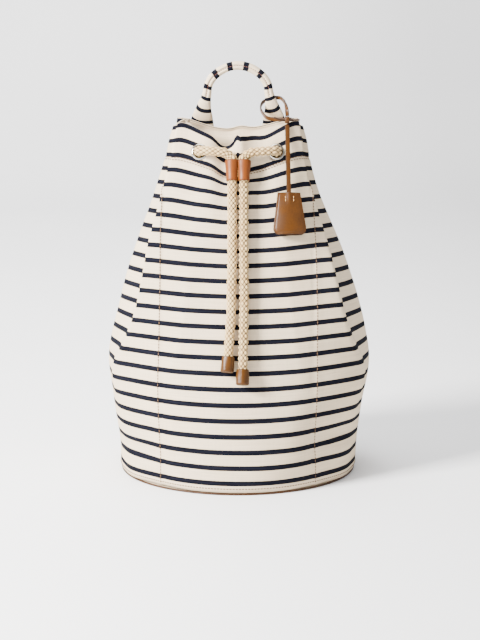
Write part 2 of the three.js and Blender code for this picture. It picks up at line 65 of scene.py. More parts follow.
def repaint(node, paint):
    """A CAD piece that shows as it is gets its material."""
    materials = frame["nodes"][node].data.materials
    materials.clear()
    materials.append(paint)


# ---------------------------------------------------------------- camera, floor and light

CAMERA = {"place": (0.0025, -2.4, 0.641), "aims_at": (0.0025, 0, 0.189), "sensor": 36, "lens": 108}
SKY = {"colour": (0.9, 0.91, 0.94, 1), "strength": 0.95}
# Each light's name, place, what it points at, width and height, watts and colour.
LIGHTS = (
    ("key", (-2.1, -1.5, 1.6), (0, 0, 0.2), (0.8, 0.8), 480, (1, 0.98, 0.95)),
    ("fill", (1.9, -1.6, 1.0), (0, 0, 0.2), (1.6, 1.4), 8, (0.95, 0.97, 1)),
    ("top", (-0.2, 0.1, 2.3), (0, 0, 0.1), (1.6, 1.4), 60, (1, 1, 1)),
    ("backdrop", (-1.2, 1.6, 3.0), (-1.6, 4.2, 0.6), (2.0, 1.6), 130, (1, 1, 1)),
)
PAPER = {"wall_at": 4.2, "bend": 1.6, "reach": 6.0}     # the sheet that is floor and backdrop


def aim(obj, at):
    obj.rotation_euler = (Vector(at) - obj.location).to_track_quat("-Z", "Y").to_euler()


def make_camera():
    data = bpy.data.cameras.new("camera")
    data.sensor_fit = "VERTICAL"
    data.sensor_height = CAMERA["sensor"]
    data.lens = CAMERA["lens"]
    camera = bpy.data.objects.new("camera", data)
    bpy.context.collection.objects.link(camera)
    camera.location = CAMERA["place"]
    aim(camera, CAMERA["aims_at"])
    bpy.context.scene.camera = camera


def add_light(name, place, at, size, watts, colour):
    data = bpy.data.lights.new(name, "AREA")
    data.shape = "RECTANGLE"
    data.size, data.size_y = size
    data.energy = watts
    data.color = colour
    light = bpy.data.objects.new(name, data)
    bpy.context.collection.objects.link(light)
    light.location = place
    aim(light, at)


def make_studio():
    world = bpy.data.worlds.new("studio")
    world.use_nodes = True
    background = world.node_tree.nodes["Background"]
    background.inputs["Color"].default_value = SKY["colour"]
    background.inputs["Strength"].default_value = SKY["strength"]
    bpy.context.scene.world = world
    for light in LIGHTS:
        add_light(*light)


def make_floor():
    """One sheet that is the floor and curves up into the backdrop."""
    wall, bend, reach = PAPER["wall_at"], PAPER["bend"], PAPER["reach"]
    line = [(-reach, 0.0)]
    line += [
        (wall - bend + bend * math.sin(a), bend - bend * math.cos(a))
        for a in np.linspace(0, math.pi / 2, 17)
    ]
    line.append((wall, reach))
    points = [(x, y, z) for y, z in line for x in (-reach, reach)]
    faces = [(2 * i, 2 * i + 1, 2 * i + 3, 2 * i + 2) for i in range(len(line) - 1)]
    mesh_object("floor", points, faces, [floor_paint()])


# ---------------------------------------------------------------- mesh tools

def mesh_object(name, points, faces, materials, uv=None, attributes=None):
    """uv is one (u, v) pair for each face corner, and attributes are one number for each point."""
    mesh = bpy.data.meshes.new(name)
    mesh.from_pydata([tuple(p) for p in points], [], [tuple(f) for f in faces])
    if uv is not None:
        layer = mesh.uv_layers.new(name="cloth")
        layer.data.foreach_set("uv", np.asarray(uv, dtype=np.float32).ravel())
    for key, values in (attributes or {}).items():
        layer = mesh.attributes.new(key, "FLOAT", "POINT")
        layer.data.foreach_set("value", np.asarray(values, dtype=np.float32))
    if inside_out(np.asarray(points, float), faces):
        mesh.flip_normals()
    mesh.polygons.foreach_set("use_smooth", [True] * len(mesh.polygons))
    for material in materials:
        mesh.materials.append(material)
    obj = bpy.data.objects.new(name, mesh)
    bpy.context.collection.objects.link(obj)
    return obj


def inside_out(points, faces):
    """Whether a closed mesh's faces look inwards."""
    triangles = np.array([(f[0], b, c) for f in faces for b, c in zip(f[1:-1], f[2:])])
    a, b, c = (points[triangles[:, k]] - points.mean(axis=0) for k in range(3))
    return (a * np.cross(b, c)).sum() < 0


def grid_faces(rows, columns, wrap_rows=False, wrap_columns=False):
    """Quads over a grid of points numbered row by row, facing away from row x column."""
    faces = []
    for j in range(rows if wrap_rows else rows - 1):
        for i in range(columns if wrap_columns else columns - 1):
            after = (i + 1) % columns
            here, below = j * columns, (j + 1) % rows * columns
            faces.append((here + i, here + after, below + after, below + i))
    return faces


def grid_normals(points, closed=True):
    """The outward direction at each point of a grid, whose rows may close into rings."""
    if closed:
        along = np.roll(points, -1, axis=1) - np.roll(points, 1, axis=1)
    else:
        along = np.gradient(points, axis=1)
    return unit(np.cross(along, np.gradient(points, axis=0)))


def capped_tube(rings, ends):
    """(points, faces) of a tube through the rings, closed by a fan round each end point."""
    rows, sides = rings.shape[:2]
    faces = grid_faces(rows, sides, wrap_columns=True)
    first, last, bottom = rows * sides, rows * sides + 1, (rows - 1) * sides
    faces += [(first, (i + 1) % sides, i) for i in range(sides)]
    faces += [(last, bottom + i, bottom + (i + 1) % sides) for i in range(sides)]
    return np.vstack([rings.reshape(-1, 3), ends]), faces


def shifted(faces, by):
    return [tuple(by + index for index in face) for face in faces]


def turned_over(faces):
    return [tuple(reversed(face)) for face in faces]


def full_turn(count):
    return np.linspace(0, 2 * math.pi, count, endpoint=False)


def lengths_along(path):
    """The distance from a line's first point to each of its points."""
    return np.concatenate([[0], np.cumsum(np.linalg.norm(np.diff(path, axis=0), axis=1))])


def unit(v):
    v = np.asarray(v, dtype=float)
    return v / np.maximum(np.linalg.norm(v, axis=-1, keepdims=True), 1e-12)


def smooth_step(low, high, x):
    t = np.clip((x - low) / (high - low), 0, 1)
    return t * t * (3 - 2 * t)


def bell_curve(x, centre, width):
    return np.exp(-(((x - centre) / width) ** 2))


def cubic(xs, ys, x):
    """A smooth curve through the points (xs, ys), read at x."""
    xs, ys = np.asarray(xs, float), np.asarray(ys, float)
    before = np.maximum(np.arange(len(xs)) - 1, 0)
    after = np.minimum(np.arange(len(xs)) + 1, len(xs) - 1)
    slopes = (ys[after] - ys[before]) / (xs[after] - xs[before])
    i = np.clip(np.searchsorted(xs, x, side="left") - 1, 0, len(xs) - 2)
    span = xs[i + 1] - xs[i]
    t = (x - xs[i]) / span
    return (
        (2 * t**3 - 3 * t**2 + 1) * ys[i]
        + (t**3 - 2 * t**2 + t) * span * slopes[i]
        + (3 * t**2 - 2 * t**3) * ys[i + 1]
        + (t**3 - t**2) * span * slopes[i + 1]
    )


def curve_through(points, step):
    """Points about a step apart on the centripetal Catmull-Rom curve through the given ones."""
    p = np.asarray(points, float)
    p = np.vstack([2 * p[0] - p[1], p, 2 * p[-1] - p[-2]])
    fine = []
    for i in range(1, len(p) - 2):
        d0, d1, d2 = (max(np.linalg.norm(p[i + k] - p[i + k - 1]) ** 0.5, 1e-6) for k in (0, 1, 2))
        t1 = ((p[i] - p[i - 1]) / d0 - (p[i + 1] - p[i - 1]) / (d0 + d1) + (p[i + 1] - p[i]) / d1) * d1
        t2 = ((p[i + 1] - p[i]) / d1 - (p[i + 2] - p[i]) / (d1 + d2) + (p[i + 2] - p[i + 1]) / d2) * d1
        t = np.linspace(0, 1, 24, endpoint=False)[:, None]
        fine.append(
            (2 * t**3 - 3 * t**2 + 1) * p[i] + (t**3 - 2 * t**2 + t) * t1
            + (3 * t**2 - 2 * t**3) * p[i + 1] + (t**3 - t**2) * t2
        )
    fine = np.vstack([*fine, p[-2][None]])
    run = lengths_along(fine)
    even = np.linspace(0, run[-1], max(2, round(run[-1] / step)) + 1)
    return np.column_stack([np.interp(even, run, fine[:, k]) for k in range(3)])


def frames_along(line, start_across):
    """(across, out) at each point of a line, turning as little as possible."""
    tangents = unit(np.gradient(line, axis=0))
    across = np.zeros_like(line)
    last = np.asarray(start_across, float)
    for i, tangent in enumerate(tangents):
        last = unit(last - tangent * last.dot(tangent))
        across[i] = last
    return across, np.cross(tangents, across)


def lathe(profile, sides):
    """A closed ring with the given (radius, height) outline, turned about Z."""
    points = [(r * math.cos(a), r * math.sin(a), h) for r, h in profile for a in full_turn(sides)]
    return points, grid_faces(len(profile), sides, wrap_rows=True, wrap_columns=True)


def rounded(outline, radius, steps=3):
    """A closed outline with each corner cut round."""
    outline = np.asarray(outline, float)
    result = []
    for i, corner in enumerate(outline):
        before, after = outline[i - 1] - corner, outline[(i + 1) % len(outline)] - corner
        cut_in = min(radius, np.linalg.norm(before) * 0.45)
        cut_out = min(radius, np.linalg.norm(after) * 0.45)
        a, b = corner + unit(before) * cut_in, corner + unit(after) * cut_out
        for t in np.linspace(0, 1, steps):
            result.append((1 - t) ** 2 * a + 2 * t * (1 - t) * corner + t**2 * b)
    return result


def basis(x_axis, y_axis, z_axis, origin):
    matrix = Matrix.Identity(4)
    for column, axis in enumerate((x_axis, y_axis, z_axis, origin)):
        for row in range(3):
            matrix[row][column] = float(axis[row])
    return matrix


def frame_from(z_axis, x_hint, origin):
    z_axis = unit(z_axis)
    x_axis = unit(np.asarray(x_hint, float) - z_axis * np.dot(x_hint, z_axis))
    return basis(x_axis, np.cross(z_axis, x_axis), z_axis, origin)


# ---------------------------------------------------------------- materials

class Paint:
    """A node material with a Principled shader, and short names for the nodes it is made of."""

    def __init__(self, name, roughness, **sockets):
        self.material = bpy.data.materials.new(name)
        self.material.use_nodes = True
        self.tree = self.material.node_tree
        self.shader = self.tree.nodes["Principled BSDF"]
        self.shader.inputs["Roughness"].default_value = roughness
        for key, value in sockets.items():
            self.shader.inputs[key.replace("_", " ")].default_value = value

    def node(self, kind, inputs=None, **settings):
        node = self.tree.nodes.new(kind)
        for key, value in settings.items():
            setattr(node, key, value)
        for key, value in (inputs or {}).items():
            self.feed(node.inputs[key], value)
        return node

    def feed(self, socket, value):
        if isinstance(value, bpy.types.NodeSocket):
            self.tree.links.new(value, socket)
        elif isinstance(value, tuple) and socket.type == "RGBA":
            socket.default_value = (*value, 1)
        else:
            socket.default_value = value

    def math(self, operation, a, b=0.0, c=0.0):
        return self.node("ShaderNodeMath", {0: a, 1: b, 2: c}, operation=operation).outputs[0]

    def object_place(self):
        return self.node("ShaderNodeTexCoord").outputs["Object"]

    def times(self, a, b):
        return self.math("MULTIPLY", a, b)

    def cloth_place(self):
        cloth = self.node("ShaderNodeUVMap", uv_map="cloth").outputs[0]
        parts = self.node("ShaderNodeSeparateXYZ", {0: cloth})
        return parts.outputs["X"], parts.outputs["Y"]

    def place(self, x, y, z=0.0):
        return self.node("ShaderNodeCombineXYZ", {0: x, 1: y, 2: z}).outputs[0]

    def streaks(self, x, per_x, y, per_y, detail):
        """Noise with its own number of grains a metre each way."""
        return self.noise(self.place(self.times(x, per_x), self.times(y, per_y)), 1.0, detail)

    def noise(self, place, scale, detail=2.0, roughness=0.5):
        node = self.node("ShaderNodeTexNoise", {"Vector": place, "Scale": scale, "Detail": detail})
        node.inputs["Roughness"].default_value = roughness
        return node.outputs["Fac"]

    def range(self, value, from_min, from_max, to_min, to_max):
        inputs = {"Value": value, 1: from_min, 2: from_max, 3: to_min, 4: to_max}
        return self.node("ShaderNodeMapRange", inputs).outputs[0]

    def vary(self, noise, low, high):
        """The noise, most of which lies from 0.3 to 0.7, spread from low to high."""
        return self.range(noise, 0.3, 0.7, low, high)

    def attribute(self, name):
        return self.node("ShaderNodeAttribute", attribute_name=name).outputs["Fac"]

    def mix(self, factor, a, b, blend="MIX"):
        node = self.node("ShaderNodeMix", data_type="RGBA", blend_type=blend)
        self.feed(node.inputs[0], factor)
        self.feed(node.inputs[6], a)
        self.feed(node.inputs[7], b)
        return node.outputs[2]

    def shade(self, colour, value):
        """The colour times a grey value."""
        grey = self.node("ShaderNodeCombineColor", {0: value, 1: value, 2: value}).outputs[0]
        return self.mix(1.0, colour, grey, "MULTIPLY")

    def finish(self, colour, height=None, depth=0.0, roughness=None):
        self.feed(self.shader.inputs["Base Color"], colour)
        if height is not None:
            bump = self.node("ShaderNodeBump", {"Height": height, "Distance": depth, "Strength": 1.0})
            self.feed(self.shader.inputs["Normal"], bump.outputs[0])
        if roughness is not None:
            self.feed(self.shader.inputs["Roughness"], roughness)
        return self.material


def linear(red, green, blue):
    """Screen colour from 0 to 255, as the linear light that a shader takes."""
    shares = (c / 255 for c in (red, green, blue))
    return tuple(c / 12.92 if c < 0.043 else ((c + 0.055) / 1.055) ** 2.4 for c in shares)


CREAM = linear(213, 194, 166)
NAVY = linear(9, 10, 18)
STRIPE = {"pitch": 19.25 * MM, "first": 15.4 * MM, "half": 3.0 * MM}
HANDLE_STRIPE = {"pitch": 20 * MM, "first": 10 * MM, "half": 3.2 * MM}
CANVAS_SHEEN = 0.05
RIB, WEFT = 1.15 * MM, 0.9 * MM
YARN_WAVER, DYE_BLUR = 0.35 * MM, 0.3 * MM      # how uneven, and how soft, a stripe's edge is


def canvas_paint(name, stripe=None, colour=CREAM):
    """Ribbed cotton canvas. The cloth map gives the place on the cloth in metres: along, up."""
    p = Paint(name, 0.92, Sheen_Weight=CANVAS_SHEEN, Sheen_Roughness=0.5, Specular_IOR_Level=0.06)
    along, up = p.cloth_place()
    yarn = p.streaks(along, 22.0, up, 620.0, 3.0)
    thread = p.streaks(along, 420.0, up, 30.0, 2.0)
    cloud = p.noise(p.object_place(), 14.0, 3.0)
    tone = p.times(p.times(p.vary(yarn, 0.9, 1.05), p.vary(thread, 0.97, 1.03)), p.vary(cloud, 0.95, 1.03))
    result = p.mix(p.range(cloud, 0.35, 0.65, 0.0, 0.35), colour, linear(203, 181, 149))
    ribs = p.math("SINE", p.times(up, 2 * math.pi / RIB))
    weft = p.math("SINE", p.times(along, 2 * math.pi / WEFT))
    weave = p.math("MULTIPLY_ADD", p.times(ribs, weft), 0.5, p.times(yarn, 1.5))
    if stripe:
        pitch, half = stripe["pitch"], stripe["half"]
        wavering = p.math("ADD", up, p.math("MULTIPLY_ADD", thread, YARN_WAVER, -YARN_WAVER / 2))
        turn = p.math("DIVIDE", p.math("SUBTRACT", wavering, stripe["first"]), pitch)
        off = p.times(p.math("ABSOLUTE", p.math("SUBTRACT", turn, p.math("ROUND", turn))), pitch)
        inside = p.range(off, half, half + DYE_BLUR, 1.0, 0.0)
        dyed = p.mix(p.range(yarn, 0.35, 0.75, 0.0, 0.4), NAVY, linear(28, 30, 42))
        result = p.mix(inside, result, dyed)
        p.feed(p.shader.inputs["Sheen Weight"], p.range(inside, 0.0, 1.0, CANVAS_SHEEN, 0.0))
    return p.finish(p.shade(result, tone), weave, 0.16 * MM)


def leather_paint(name, colour, dark, gloss=0.5):
    """Vegetable-tanned leather: clouded colour, fine pores, and burnished edges where edge is 1."""
    p = Paint(name, gloss, Specular_IOR_Level=0.2, Coat_Weight=0.04, Coat_Roughness=0.3)
    place = p.object_place()
    cloud = p.noise(place, 70.0, 4.0, 0.6)
    pores = p.node("ShaderNodeTexVoronoi", {"Vector": place, "Scale": 1500.0}).outputs["Distance"]
    creases = p.noise(place, 420.0, 3.0, 0.6)
    body = p.mix(p.vary(cloud, 0.0, 0.75), colour, dark)
    body = p.mix(p.times(p.attribute("edge"), 0.8), body, tuple(c * 0.3 for c in dark))
    body = p.shade(body, p.vary(creases, 0.92, 1.06))
    height = p.math("ADD", p.times(pores, 0.6), p.times(creases, 0.9))
    return p.finish(body, height, 0.12 * MM, p.vary(cloud, gloss - 0.08, gloss + 0.1))


def rope_paint():
    p = Paint("rope_cotton", 0.95, Sheen_Weight=0.1, Sheen_Roughness=0.6, Specular_IOR_Level=0.2)
    along, around = p.cloth_place()
    fibre = p.streaks(along, 260.0, around, 2600.0, 3.0)
    cloud = p.noise(p.object_place(), 90.0, 3.0)
    colour = p.mix(p.range(cloud, 0.35, 0.65, 0.0, 0.7), linear(212, 182, 130), linear(188, 152, 98))
    # Painted shade: the braid's grooves, where the groove attribute is 1, are darkened to deep brown.
    shaded_grooves = p.mix(p.attribute("groove"), colour, linear(72, 44, 18))
    return p.finish(p.shade(shaded_grooves, p.vary(fibre, 0.86, 1.06)), fibre, 0.2 * MM)


def metal_paint(name, colour, roughness):
    """Bright metal with faint smudges and scratches, and painted shade round the bore where its throat mask
    attribute is 1.
    """
    p = Paint(name, roughness, Metallic=1.0)
    place = p.object_place()
    smudge = p.noise(place, 260.0, 4.0, 0.6)
    scratch = p.noise(p.place(p.times(p.noise(place, 30.0), 40.0), smudge), 40.0, 2.0)
    tint = p.mix(p.vary(smudge, 0.0, 0.5), colour, tuple(c * 0.8 for c in colour))
    # Painted shade: the throat round the rope hole is darkened nearly to black.
    tint = p.mix(p.attribute("shaded_throat"), tint, tuple(c * 0.08 for c in colour))
    return p.finish(tint, scratch, 0.01 * MM, p.vary(smudge, roughness - 0.06, roughness + 0.1))


def thread_paint(name, colour):
    p = Paint(name, 0.7, Sheen_Weight=0.2, Specular_IOR_Level=0.3)
    ply = p.noise(p.object_place(), 1800.0, 2.0)
    return p.finish(p.shade(colour, p.vary(ply, 0.8, 1.1)), ply, 0.08 * MM)


def board_paint():
    p = Paint("fibre_board", 0.9, Specular_IOR_Level=0.2)
    fibre = p.noise(p.object_place(), 500.0, 4.0, 0.7)
    colour = p.mix(p.vary(fibre, 0.0, 1.0), linear(140, 124, 100), linear(112, 96, 76))
    return p.finish(colour, fibre, 0.2 * MM)


def floor_paint():
    """White paper with painted shade that darkens it a little towards the right."""
    p = Paint("floor_paper", 0.85, Specular_IOR_Level=0.15)
    place = p.object_place()
    cloud = p.noise(place, 1.5, 2.0)
    paper = p.mix(p.vary(cloud, 0.0, 1.0), linear(244, 244, 244), linear(240, 240, 241))
    parts = p.node("ShaderNodeSeparateXYZ", {0: place})
    return p.finish(p.shade(paper, p.range(parts.outputs["X"], -0.2, 0.6, 1.0, 0.78)))


# ---------------------------------------------------------------- the shape of the canvas shell

BASE_RADIUS = 0.150
RIM = 0.443                # height of the rim at the front corners
HALF_GIRTH = 0.471         # cloth from the front centre line to the back centre line
PANEL = 0.100              # front and back panels, seam to centre line, along the cloth
SIDE = (HALF_GIRTH - 2 * PANEL) / 2
CLOTH = 2.2 * MM
BACK_DEPTH = (1.0, 0.86)   # depth of the back relative to the front, at the base and at the rim
SHOULDER = (0.52, 0.76)    # where the front rounds off: share of the way out and forward
CREASE = (0.110, 0.190, 0.65)   # the folds sharpen between these heights, to this share
FRONT_SLACK = 0.07         # share of the front's cloth that its gathers take up at the rim
DROOP = {"front": (0.024, 0.090), "side": (0.008, 0.060), "back": (0.014, 0.060)}   # fall, fade
FLOOR_GAP = 3.6 * MM       # the cloth starts this far up, above the piping

# Cross-sections of the filled-out, cinched bag, from the front centre line to the side ridge.
STATION_KEYS = ("z", "front_y", "corner_x", "corner_y", "tuck_x", "tuck_y", "ridge_x")
STATIONS = (
    (0.000, 0.150, 0.123, 0.086, 0.1435, 0.044, 0.1500),
    (0.040, 0.151, 0.125, 0.086, 0.1460, 0.044, 0.1525),
    (0.090, 0.147, 0.136, 0.080, 0.1530, 0.042, 0.1585),
    (0.138, 0.136, 0.150, 0.069, 0.1580, 0.040, 0.1650),
    (0.180, 0.125, 0.138, 0.075, 0.1420, 0.051, 0.1600),
    (0.215, 0.113, 0.128, 0.074, 0.1260, 0.053, 0.1520),
    (0.257, 0.099, 0.119, 0.067, 0.1130, 0.048, 0.1400),
    (0.300, 0.084, 0.109, 0.057, 0.1010, 0.040, 0.1250),
    (0.350, 0.068, 0.095, 0.045, 0.0850, 0.029, 0.1050),
    (0.400, 0.050, 0.082, 0.033, 0.0700, 0.019, 0.0900),
    (RIM, 0.036, 0.075, 0.025, 0.0620, 0.013, 0.0810),
)
COLUMNS_PER_SEGMENT = (20, 20, 12, 12, 12, 12, 16, 16)   # front centre line to back centre line
LEVELS = np.concatenate([
    np.linspace(FLOOR_GAP, 0.380, 96, endpoint=False),
    np.linspace(0.380, RIM, 27),
])


def profile(level, key):
    rows = np.array(STATIONS)
    return cubic(rows[:, 0], rows[:, STATION_KEYS.index(key)], level)


def half_rings(levels):
    """(x and y of each column, cloth coordinate of each column), one row for each level."""
    front, corner_x, corner_y, tuck_x, tuck_y, ridge = (profile(levels, k) for k in STATION_KEYS[1:])
    back = BACK_DEPTH[0] + (BACK_DEPTH[1] - BACK_DEPTH[0]) * np.clip(levels / RIM, 0, 1)
    shoulder_x = SHOULDER[0] * corner_x
    shoulder_y = corner_y + (front - corner_y) * SHOULDER[1]
    zero = np.zeros_like(levels)
    knots = np.array([
        (-shoulder_x, -shoulder_y), (zero, -front), (shoulder_x, -shoulder_y), (corner_x, -corner_y),
        (tuck_x, -tuck_y), (ridge, zero), (tuck_x, tuck_y * back), (corner_x, corner_y * back),
        (shoulder_x, shoulder_y * back), (zero, front * back), (-shoulder_x, shoulder_y * back),
    ])
    sharp = CREASE[2] * smooth_step(CREASE[0], CREASE[1], levels)
    columns = []
    for k, count in enumerate(COLUMNS_PER_SEGMENT, start=1):
        a, b, c, d = knots[k - 1], knots[k], knots[k + 1], knots[k + 2]
        for t in np.linspace(0, 1, count, endpoint=False):
            curved = 0.5 * (
                2 * b + (c - a) * t + (2 * a - 5 * b + 4 * c - d) * t * t
                + (3 * b - a - 3 * c + d) * t**3
            )
            columns.append(curved + (b + (c - b) * t - curved) * sharp)
    columns.append(knots[-2])
    xy = np.moveaxis(np.array(columns), 2, 0)
    run = np.concatenate([
        np.zeros((len(levels), 1)),
        np.cumsum(np.linalg.norm(np.diff(xy, axis=1), axis=2), axis=1),
    ], axis=1)
    ridge_run = run[:, sum(COLUMNS_PER_SEGMENT[:4])]
    taken = PANEL * (1 - FRONT_SLACK * np.clip(levels / RIM, 0, 1))
    cloth = (0, PANEL, PANEL + SIDE, HALF_GIRTH - PANEL, HALF_GIRTH)
    s = np.array([
        np.interp(run[j], (0, taken[j], ridge_run[j], run[j, -1] - taken[j], run[j, -1]), cloth)
        for j in range(len(levels))
    ])
    return xy, s


def droop(s, level):
    """How far the cloth sinks at the rim, front and back, as the cord pulls the mouth shut."""
    depth = np.maximum(0, RIM - level)
    corner = 1.02 * profile(np.minimum(level, RIM), "corner_x")

    def dome(q):
        return np.maximum(0, 1 - q * q) ** 1.5

    def fall(part):
        most, fade = DROOP[part]
        return most * np.exp(-depth / fade)

    along = np.abs(s)
    return (
        fall("front") * dome(along / corner)
        + fall("side") * bell_curve(along, HALF_GIRTH / 2, 0.060)
        + fall("back") * dome((HALF_GIRTH - along) / corner)
    )


def shell_grid(levels):
    """(points, cloth coordinate s, level), each rows x columns, closed round the bag."""
    xy, s = half_rings(levels)
    left = slice(-2, 0, -1)
    x = np.concatenate([xy[:, :, 0], -xy[:, left, 0]], axis=1)
    y = np.concatenate([xy[:, :, 1], xy[:, left, 1]], axis=1)
    s = np.concatenate([s, -s[:, left]], axis=1)
    level = np.repeat(levels[:, None], s.shape[1], axis=1)
    return np.stack([x, y, level - droop(s, level)], axis=2), s, level


PLACE_TRIES = 14            # steps that bring a place on the cloth to the x and z asked for


class Shell:
    """A grid of points that can be read at any cloth place (s, level)."""

    def __init__(self, points, s, levels):
        self.points, self.s, self.levels = points, s, levels
        self.normals = grid_normals(points)

    def read(self, values, s, level):
        j = int(np.clip(np.searchsorted(self.levels, level) - 1, 0, len(self.levels) - 2))
        t = (level - self.levels[j]) / (self.levels[j + 1] - self.levels[j])
        rows = []
        for row in (j, j + 1):
            order = np.argsort(self.s[row])
            places = self.s[row][order]
            rows.append([
                np.interp(s, places, values[row, order, k], period=2 * HALF_GIRTH) for k in range(3)
            ])
        return (1 - t) * np.array(rows[0]) + t * np.array(rows[1])

    def at(self, s, level):
        return self.read(self.points, s, level)

    def normal(self, s, level):
        return unit(self.read(self.normals, s, level))

    def place_at(self, x, z, behind=False):
        """The cloth place of the front's, or the back's, point at x and z."""
        s, level = (HALF_GIRTH - x if behind else x), z
        for _ in range(PLACE_TRIES):
            point = self.at(s, level)
            s += (point[0] - x) if behind else (x - point[0])
            level = min(RIM - 0.002, level + z - point[2])
        return s, level


smooth_levels = np.linspace(0, RIM, 112)
smooth_shell = Shell(*shell_grid(smooth_levels)[:2], smooth_levels)


def off_front(x, z, distance):
    """The point a distance out from the front's cloth at x and z."""
    place = smooth_shell.place_at(x, z)
    return smooth_shell.at(*place) + smooth_shell.normal(*place) * distance


# ---------------------------------------------------------------- cord, slider travel and eyelets

ROPE_RADIUS = 6 * MM
TAIL_SPACING = 14.2 * MM
EYELET_PLACE = (0.051, 0.415)
EYELET_SPAN = 12 * MM         # cloth either side of an eyelet that sets the plane it lies in
SIDES = {-1: "left", 1: "right"}
CAPS = {-1: "rope_cap_left", 1: "rope_cap_right"}
CORD_JOINT = -5 * MM          # where the hidden cord and a tail meet, behind the cloth
# The travel starts at this level, this far out from the cloth, and the slider rests a bit down it.
SLIDER = {"top": 0.407, "clearance": 10.2 * MM, "rests_at": 14 * MM, "height": 26 * MM}
JOINTS = {joint["name"]: joint for joint in frame["record"]["behaviour"]["joints"]}


def eyelet_frame(side):
    """(centre, outward normal) of an eyelet, side -1 for the left one."""
    s, level = side * EYELET_PLACE[0], EYELET_PLACE[1]
    along = smooth_shell.at(s + EYELET_SPAN, level) - smooth_shell.at(s - EYELET_SPAN, level)
    up = smooth_shell.at(s, level + EYELET_SPAN / 2) - smooth_shell.at(s, level - EYELET_SPAN / 2)
    return smooth_shell.at(s, level), unit(np.cross(along, up))


EYELETS = {side: eyelet_frame(side) for side in SIDES}
travel_axis = unit(JOINTS["slider_on_tails"]["axis"])
travel_top = off_front(0, SLIDER["top"], SLIDER["clearance"])
travel_out = unit(np.cross(travel_axis, (1, 0, 0)))

# The same route as the CAD tails: across from the eyelet, down the slider's travel, and on.
BESIDE_THE_EYELET = (
    (0.0450, 0.0115, 0.0030), (0.0360, 0.0138, 0.0027), (0.0260, 0.0141, 0.0020),
    (0.0165, 0.0140, 0.0007), (0.0098, 0.0136, -0.0035),
)
DOWN_THE_TRAVEL = (0.0115, 0.0165, 0.020, 0.035, 0.060, 0.090, 0.120, 0.145)
BELOW_THE_TRAVEL = {
    -1: (
        (-0.0072, 0.240, 0.0082), (-0.0076, 0.215, 0.0074),
        (-0.0095, 0.185, 0.0080), (-0.0118, 0.153, 0.0100),
    ),
    1: (
        (0.0069, 0.240, 0.0082), (0.0064, 0.210, 0.0074),
        (0.0056, 0.175, 0.0080), (0.0048, 0.1385, 0.0100),
    ),
}


def tail_route(side):
    """One tail, from the joint behind the cloth down to its end inside the cap."""
    centre, normal = EYELETS[side]
    route = [centre + normal * reach for reach in (CORD_JOINT, 0.002, 0.008)]
    route += [
        np.array((side * x, centre[1] - forward, centre[2] + rise))
        for x, forward, rise in BESIDE_THE_EYELET
    ]
    beside = np.array((side * TAIL_SPACING / 2, 0, 0))
    route += [travel_top + travel_axis * run + beside for run in DOWN_THE_TRAVEL]
    route += [off_front(*point) for point in BELOW_THE_TRAVEL[side]]
    return route


# A braid whose strands cross over one and under the next. Its surface is one closed tube, raised
# where a strand lies on top.
BRAID = {"strands": 6, "pitch": 40 * MM, "crown": 2.0 * MM}
BRAID_LEAN = {-1: 0.1, 1: 0.35}     # see braid_surface


def braid_surface(around, along, lean):
    """(height from 0 to 1, place across the top strand) of the braid at a place on the rope.
    lean is how far the strands that climb one way stand above the others."""
    n = BRAID["strands"]
    turn = around / (2 * math.pi) * n
    climb = along / BRAID["pitch"] * n
    right, left = turn + climb, turn - climb
    on_right = np.mod(np.floor(right) + np.floor(left), 2) < 0.5
    off = np.where(on_right, np.mod(right, 1), np.mod(left, 1)) - 0.5
    end = np.where(on_right, np.mod(left, 1), np.mod(right, 1)) - 0.5
    height = np.sqrt(np.clip(1 - (2 * off) ** 2, 0, 1)) * np.clip(1 - (2 * end) ** 2, 0, 1) ** 0.35
    return np.where(on_right, height, height * (1 - lean)), off


def braided_rope(name, route, paint, lean=0.2, step=0.55 * MM, sides=72):
    """(rope mesh, its centre line)"""
    line = curve_through(route, step)
    across, out = frames_along(line, (1, 0, 0))
    around, along = np.meshgrid(full_turn(sides), np.arange(len(line)) * step)
    height, off = braid_surface(around, along, lean)
    reach = ROPE_RADIUS - BRAID["crown"] * (1 - height)
    ring = np.cos(around)[..., None] * across[:, None] + np.sin(around)[..., None] * out[:, None]
    points, faces = capped_tube(line[:, None] + ring * reach[..., None], [line[0], line[-1]])
    cloth = np.vstack([
        np.column_stack([along.ravel(), off.ravel() * ROPE_RADIUS]),
        [(0, 0), (along[-1, 0], 0)],
    ])
    # The groove attribute marks the valleys between strands, where the rope paint lays painted shade.
    groove = np.append(1 - smooth_step(0.15, 0.80, height.ravel()), (0, 0))
    uv = cloth[np.concatenate(faces)]
    return mesh_object(name, points, faces, [paint], uv, {"groove": groove}), line


def make_cords(paint):
    for side, name in SIDES.items():
        rope, line = braided_rope(f"rope_{name}", tail_route(side), paint, BRAID_LEAN[side])
        fit(rope, "bag", "rope", f"rope_tail_{name}")


# ---------------------------------------------------------------- the canvas shell as cloth

HEM = 0.042                 # the cord's tunnel: rim to the upper of its two rows of stitching
SEAMS = (-HALF_GIRTH + PANEL, -PANEL, PANEL, HALF_GIRTH - PANEL)


def cloth_height(level):
    """The distance up the cloth from its bottom seam, at a level of the undrooped shell."""
    fine = np.linspace(0, RIM, 400)
    run = lengths_along(np.column_stack([fine, profile(fine, "front_y")]))
    return np.interp(level, fine, run)


# Where the cloth buckles at the rim, along the cloth: middle, width and rise.
BUCKLES = (
    (-0.019, 0.012, -0.0060), (0.002, 0.009, 0.0035), (0.018, 0.013, 0.0055),
    (-0.102, 0.022, -0.0060), (-0.150, 0.040, -0.0065),
)
# Standing folds between the eyelets: middle, width and height.
FOLDS = ((0.0015, 0.0085, 0.0075), (-0.020, 0.010, -0.0035), (0.022, 0.010, -0.0030))
